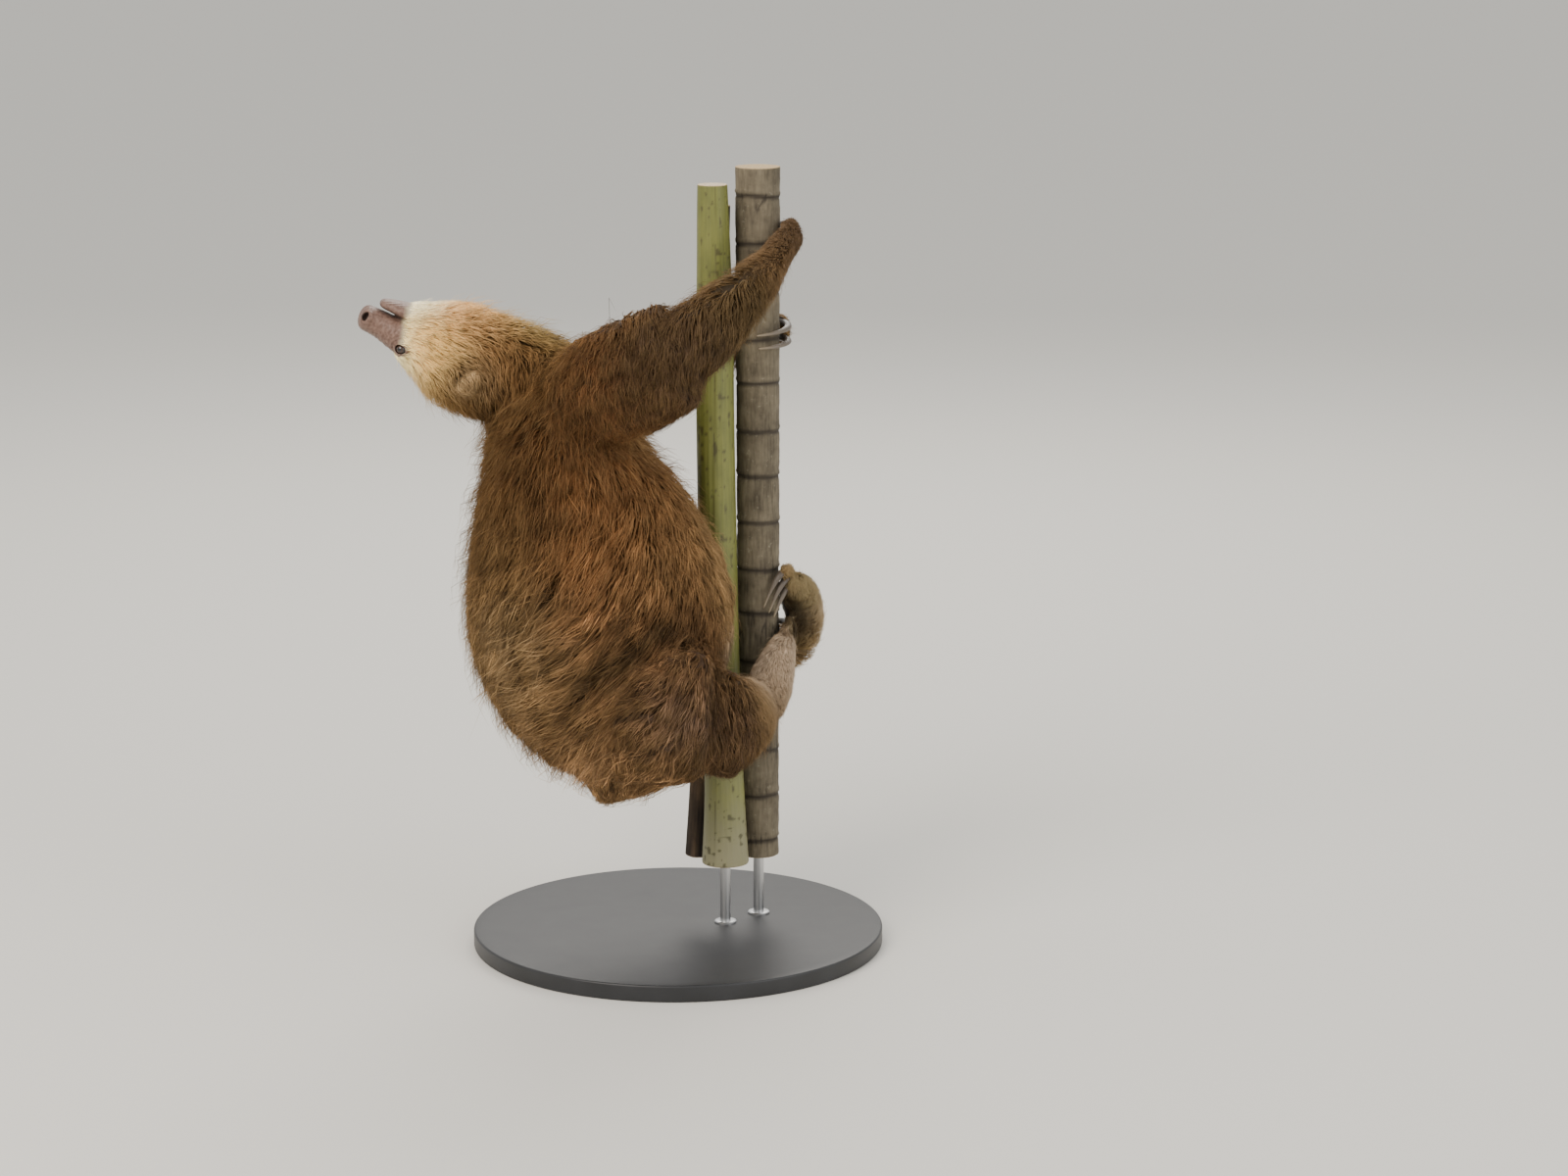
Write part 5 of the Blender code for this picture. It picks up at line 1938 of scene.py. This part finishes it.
@dataclass(frozen=True)
class ClawHorn:
    """Keratin: slate brown, half glossy, with fine growth lines along it and a paler, worn tip."""

    name: str = "Claw_keratin"
    tones: tuple[str, ...] = ("453c35", "574d44", "6c6154", "93856f")
    tone_at: tuple[float, ...] = (0.0, 0.35, 0.75, 1.0)  # share of the claw's length
    lines: Triple = (14.0, 1.6, 1.0)  # streaks round the claw, and along it
    grain: float = 900.0  # per metre, so 1.1 mm each

    def build(self) -> Material:
        """Colour from root to tip, streaked by noise stretched along the claw (0.5 mm growth lines)."""
        material, add, shader = new_material(self.name)
        place = add("TexCoord", "Object")
        along = add("Attribute", "Fac", attribute_name="along")
        rounding = add("Attribute", "Fac", attribute_name="round")
        stops = list(zip(self.tone_at, self.tones))
        ramp = add("ValToRGB", "Color", {"Fac": along}, stops=stops)
        flat = add("CombineXYZ", "Vector", {"X": rounding, "Y": along})
        lines = add("VectorMath", "Vector", {0: flat, 1: self.lines}, operation="MULTIPLY")
        streak = add("TexNoise", "Fac", {"Vector": lines, "Scale": 1.0})
        shade = add("MapRange", "Result", {"Value": streak, "To Min": 0.62, "To Max": 1.3})
        grain = add("TexNoise", "Fac", {"Vector": place, "Scale": self.grain, "Detail": 3.0})
        looks = {
            "Base Color": add("VectorMath", "Vector", {0: ramp, "Scale": shade}, operation="SCALE"),
            "Roughness": add("MapRange", "Result", {"Value": grain, "To Min": 0.28, "To Max": 0.55}),
            "Normal": add("Bump", "Normal", {"Height": streak, "Strength": 0.35, "Distance": 0.0004}),
            "IOR": 1.55,
        }
        fill_sockets(shader, looks)
        return material


@dataclass(frozen=True)
class PlantSurface:
    """Outside of a palm stem or stalk: two tones that drift over centimetres, streaks along the grain,
    darker in scar grooves, cracks, specks, along a sheath's edge and on the low parts between strips, and a
    pale, fibrous sawn end."""

    name: str
    light: str
    dark: str
    # colour where wear is high: scar grooves, cracks, specks, a sheath's edge, the low parts between strips
    worn: str
    foot: str
    blotch: float  # mm
    grain: float  # mm across the grain
    stretch: float  # how much longer the streaks are than wide
    roughness: Pair
    relief: float  # mm
    foot_height: float = 0.05  # metres, below which the foot's colour takes over
    foot_fade: float = 0.16  # metres over which it does, raggedly
    speck: str = "3d3420"
    speck_share: float = 0.0
    specks: float = 230.0  # per metre, so 4 mm each
    pith: tuple[str, str] = ("6b5236", "c2a87c")
    pith_cells: float = 620.0  # per metre, so 1.6 mm each

    def build(self) -> Material:
        """Patterns on Object coordinates, with scales of 1 / size in metres."""
        material, add, shader = new_material(self.name)
        place = add("TexCoord", "Object")
        wear = add("Attribute", "Fac", attribute_name="wear")
        cut = add("Attribute", "Fac", attribute_name="cut")
        drift = {"Vector": place, "Scale": 1000.0 / self.blotch, "Detail": 5.0, "Roughness": 0.6}
        wide = add("TexNoise", "Fac", drift)
        long_way = {"Vector": place, "Scale": (1.0, 1.0, 1.0 / self.stretch)}
        stretched = add("Mapping", "Vector", long_way)
        streaks = {"Vector": stretched, "Scale": 1000.0 / self.grain, "Detail": 3.0}
        fibre = add("TexNoise", "Fac", streaks)
        both = add("Math", "Value", {0: fibre, 1: 0.55, 2: wide}, operation="MULTIPLY_ADD")
        share = add("MapRange", "Result", {"Value": both, "From Min": 0.52, "From Max": 1.02})
        stops = [(0.0, self.dark), (1.0, self.light)]
        tone = add("ValToRGB", "Color", {"Fac": share}, stops=stops)
        height = add("SeparateXYZ", "Z", {"Vector": place})
        bent = {0: wide, 1: self.foot_fade, 2: height}
        ragged = add("Math", "Value", bent, operation="MULTIPLY_ADD")
        top = self.foot_height + self.foot_fade
        fade = {"Value": ragged, "From Min": top, "From Max": self.foot_height, "To Max": 0.75}
        low = add("MapRange", "Result", fade, **SMOOTH)
        layers = [(low, linear(self.foot))]
        if self.speck_share:
            spots = {"Vector": place, "Scale": self.specks, "Detail": 6.0, "Roughness": 0.7}
            found = {"Value": add("TexNoise", "Fac", spots), "From Min": 0.60, "From Max": 0.68}
            found["To Max"] = self.speck_share
            layers.append((add("MapRange", "Result", found, **SMOOTH), linear(self.speck)))
        cells = add("TexVoronoi", "Distance", {"Vector": place, "Scale": self.pith_cells})
        stops = [(0.12, self.pith[0]), (0.3, self.pith[1])]
        pith = add("ValToRGB", "Color", {"Fac": cells}, stops=stops)
        for share, colour in (*layers, (wear, linear(self.worn)), (cut, pith)):
            over = {FACTOR: share, UNDER_COLOUR: tone, OVER_COLOUR: colour}
            tone = add("Mix", MIXED, over, **COLOURS)
        gloss = {"Value": fibre, "To Min": self.roughness[0], "To Max": self.roughness[1]}
        relief = {"Height": both, "Strength": 0.8, "Distance": self.relief * MM}
        looks = {
            "Base Color": tone,
            "Roughness": add("MapRange", "Result", gloss),
            "Normal": add("Bump", "Normal", relief),
        }
        fill_sockets(shader, looks)
        return material


RINGED_BARK = PlantSurface(
    *("Ringed_palm_bark", "7d735f", "463e30", "2d261e", "6f6450"),
    *(24.0, 2.4, 7.0, (0.78, 0.95), 0.7),
    speck="b9b39c",
    speck_share=0.25,
)
GREEN_RIND = PlantSurface(
    *("Palm_leaf_stalk", "80823f", "5c602e", "474224", "948e72"),
    *(55.0, 1.6, 26.0, (0.42, 0.62), 0.12),
    foot_height=0.14,
    speck="4a4226",
    speck_share=0.55,
)
DEAD_SHEATH = PlantSurface(
    *("Dead_palm_sheath", "6e5a45", "33281e", "1d1712", "5e4f3f"),
    *(30.0, 1.3, 30.0, (0.8, 0.95), 0.7),
)


@dataclass(frozen=True)
class StainedWood:
    """Black stain under sprayed satin varnish on the wooden base: no grain shows, only 1.6 mm orange peel."""

    name: str = "Black_stained_wood"
    dark: str = "1f2022"
    light: str = "292a2d"
    peel: float = 620.0  # per metre
    clouds: float = 26.0  # per metre

    def build(self) -> Material:
        """Nearly black, with faint cloudiness in its gloss."""
        material, add, shader = new_material(self.name)
        place = add("TexCoord", "Object")
        peel = add("TexNoise", "Fac", {"Vector": place, "Scale": self.peel, "Detail": 1.5})
        cloud = add("TexNoise", "Fac", {"Vector": place, "Scale": self.clouds, "Detail": 3.0})
        stops = [(0.3, self.dark), (0.7, self.light)]
        looks = {
            "Base Color": add("ValToRGB", "Color", {"Fac": cloud}, stops=stops),
            "Roughness": add("MapRange", "Result", {"Value": cloud, "To Min": 0.36, "To Max": 0.50}),
            "Normal": add("Bump", "Normal", {"Height": peel, "Strength": 0.25, "Distance": 0.0003}),
        }
        fill_sockets(shader, looks)
        return material


@dataclass(frozen=True)
class BrushedSteel:
    """Stainless rod, brushed round its length: soft rings of gloss 0.4 mm apart."""

    name: str = "Brushed_stainless_steel"
    colour: str = "c4c5c6"
    brush: Triple = (60.0, 60.0, 2500.0)  # marks per metre across the rod, and up it

    def build(self) -> Material:
        """Bright metal whose roughness varies in fine bands up the rod."""
        material, add, shader = new_material(self.name)
        place = add("TexCoord", "Object")
        bands = add("Mapping", "Vector", {"Vector": place, "Scale": self.brush})
        brush = add("TexNoise", "Fac", {"Vector": bands, "Scale": 1.0, "Detail": 2.0})
        looks = {
            "Base Color": linear(self.colour),
            "Metallic": 1.0,
            "Roughness": add("MapRange", "Result", {"Value": brush, "To Min": 0.22, "To Max": 0.42}),
            "Normal": add("Bump", "Normal", {"Height": brush, "Strength": 0.2, "Distance": 0.0001}),
        }
        fill_sockets(shader, looks)
        return material


# ---- the whole scene ----


@dataclass
class Studio:
    """A pale floor, soft light and the camera."""

    camera_at: Triple = (0.101, -3.5996, 1.1091)
    camera_to: Triple = (0.101, 0.0, 0.344)
    lens: float = 90.0
    floor_half: float = 30.0
    lit: Triple = (0.0, 0.0, 0.4)  # where the lights point

    @staticmethod
    def facing(at: Sequence[float], to: Sequence[float]) -> Euler:
        """The turn that points a camera or light at a place."""
        return (Vector(to) - Vector(at)).to_track_quat("-Z", "Y").to_euler()

    def area_light(self, name: str, at: Sequence[float], size: float, power: float, colour: str) -> None:
        """A square soft light that faces the model's middle."""
        light = bpy.data.lights.new(name, "AREA")
        light.size, light.energy, light.color = size, power, linear(colour)[:3]
        obj = bpy.data.objects.new(name, light)
        bpy.context.scene.collection.objects.link(obj)
        obj.location = at
        obj.rotation_euler = self.facing(at, self.lit)

    def build(self) -> None:
        """Sets floor, world, lights and camera."""
        corners = np.array([[-1, -1, 0], [1, -1, 0], [1, 1, 0], [-1, 1, 0]]) * self.floor_half
        floor = new_object("studio_floor", corners, [np.array([[0, 1, 2, 3]])])
        material, _, shader = new_material("Pale_seamless_paper")
        shader.inputs["Base Color"].default_value = linear("dcdad4")
        shader.inputs["Roughness"].default_value = 0.9
        dress(floor, material)
        world = bpy.data.worlds.new("Studio_air")
        world.use_nodes = True
        world.node_tree.nodes["Background"].inputs["Color"].default_value = linear("f0efec")
        world.node_tree.nodes["Background"].inputs["Strength"].default_value = 1.0
        bpy.context.scene.world = world
        self.area_light("Key", (-1.6, -2.2, 2.6), 1.8, 95.0, "fff5ea")
        self.area_light("Fill", (2.4, -1.6, 1.4), 2.0, 30.0, "fbfaf8")
        self.area_light("Back", (0.2, 2.4, 2.4), 1.8, 50.0, "fffaf2")
        camera = bpy.data.cameras.new("Camera")
        camera.lens, camera.sensor_width = self.lens, 36.0
        obj = bpy.data.objects.new("Camera", camera)
        bpy.context.scene.collection.objects.link(obj)
        obj.location = self.camera_at
        obj.rotation_euler = self.facing(self.camera_at, self.camera_to)
        bpy.context.scene.camera = obj


def main() -> None:
    """Builds the model's looks in order and notes its size."""
    logging.basicConfig(level=logging.INFO, format="%(message)s")
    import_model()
    Studio().build()
    frame = HeadFrame.from_cad()
    plan = CoatPlan()
    skin = Skin(frame, plan)
    dress(skin.build(), Hide().build())
    LOG.info("skin: %d triangles", len(skin.obj.data.polygons))
    space = SkinSpace(skin.obj)
    LOG.info("room around the skin: %s", space.grid.shape)
    cornea = EyeGloss().build()
    for side in Side:
        LOG.info("%s", Eye(frame, side, HeadSkin(frame).eye_axes(side)).build(cornea).name)
    Claws().build(ClawHorn().build())
    stems = perch_stems()
    for stem, finish in zip(stems, (RINGED_BARK, GREEN_RIND, DEAD_SHEATH)):
        LOG.info("%s: %d faces", stem.node, len(stem.build(finish.build()).data.polygons))
    DisplayStand().build(StainedWood().build(), BrushedSteel().build())
    Coat(skin, plan, space, stems).build(CoatHair())


if __name__ == "__main__":
    main()
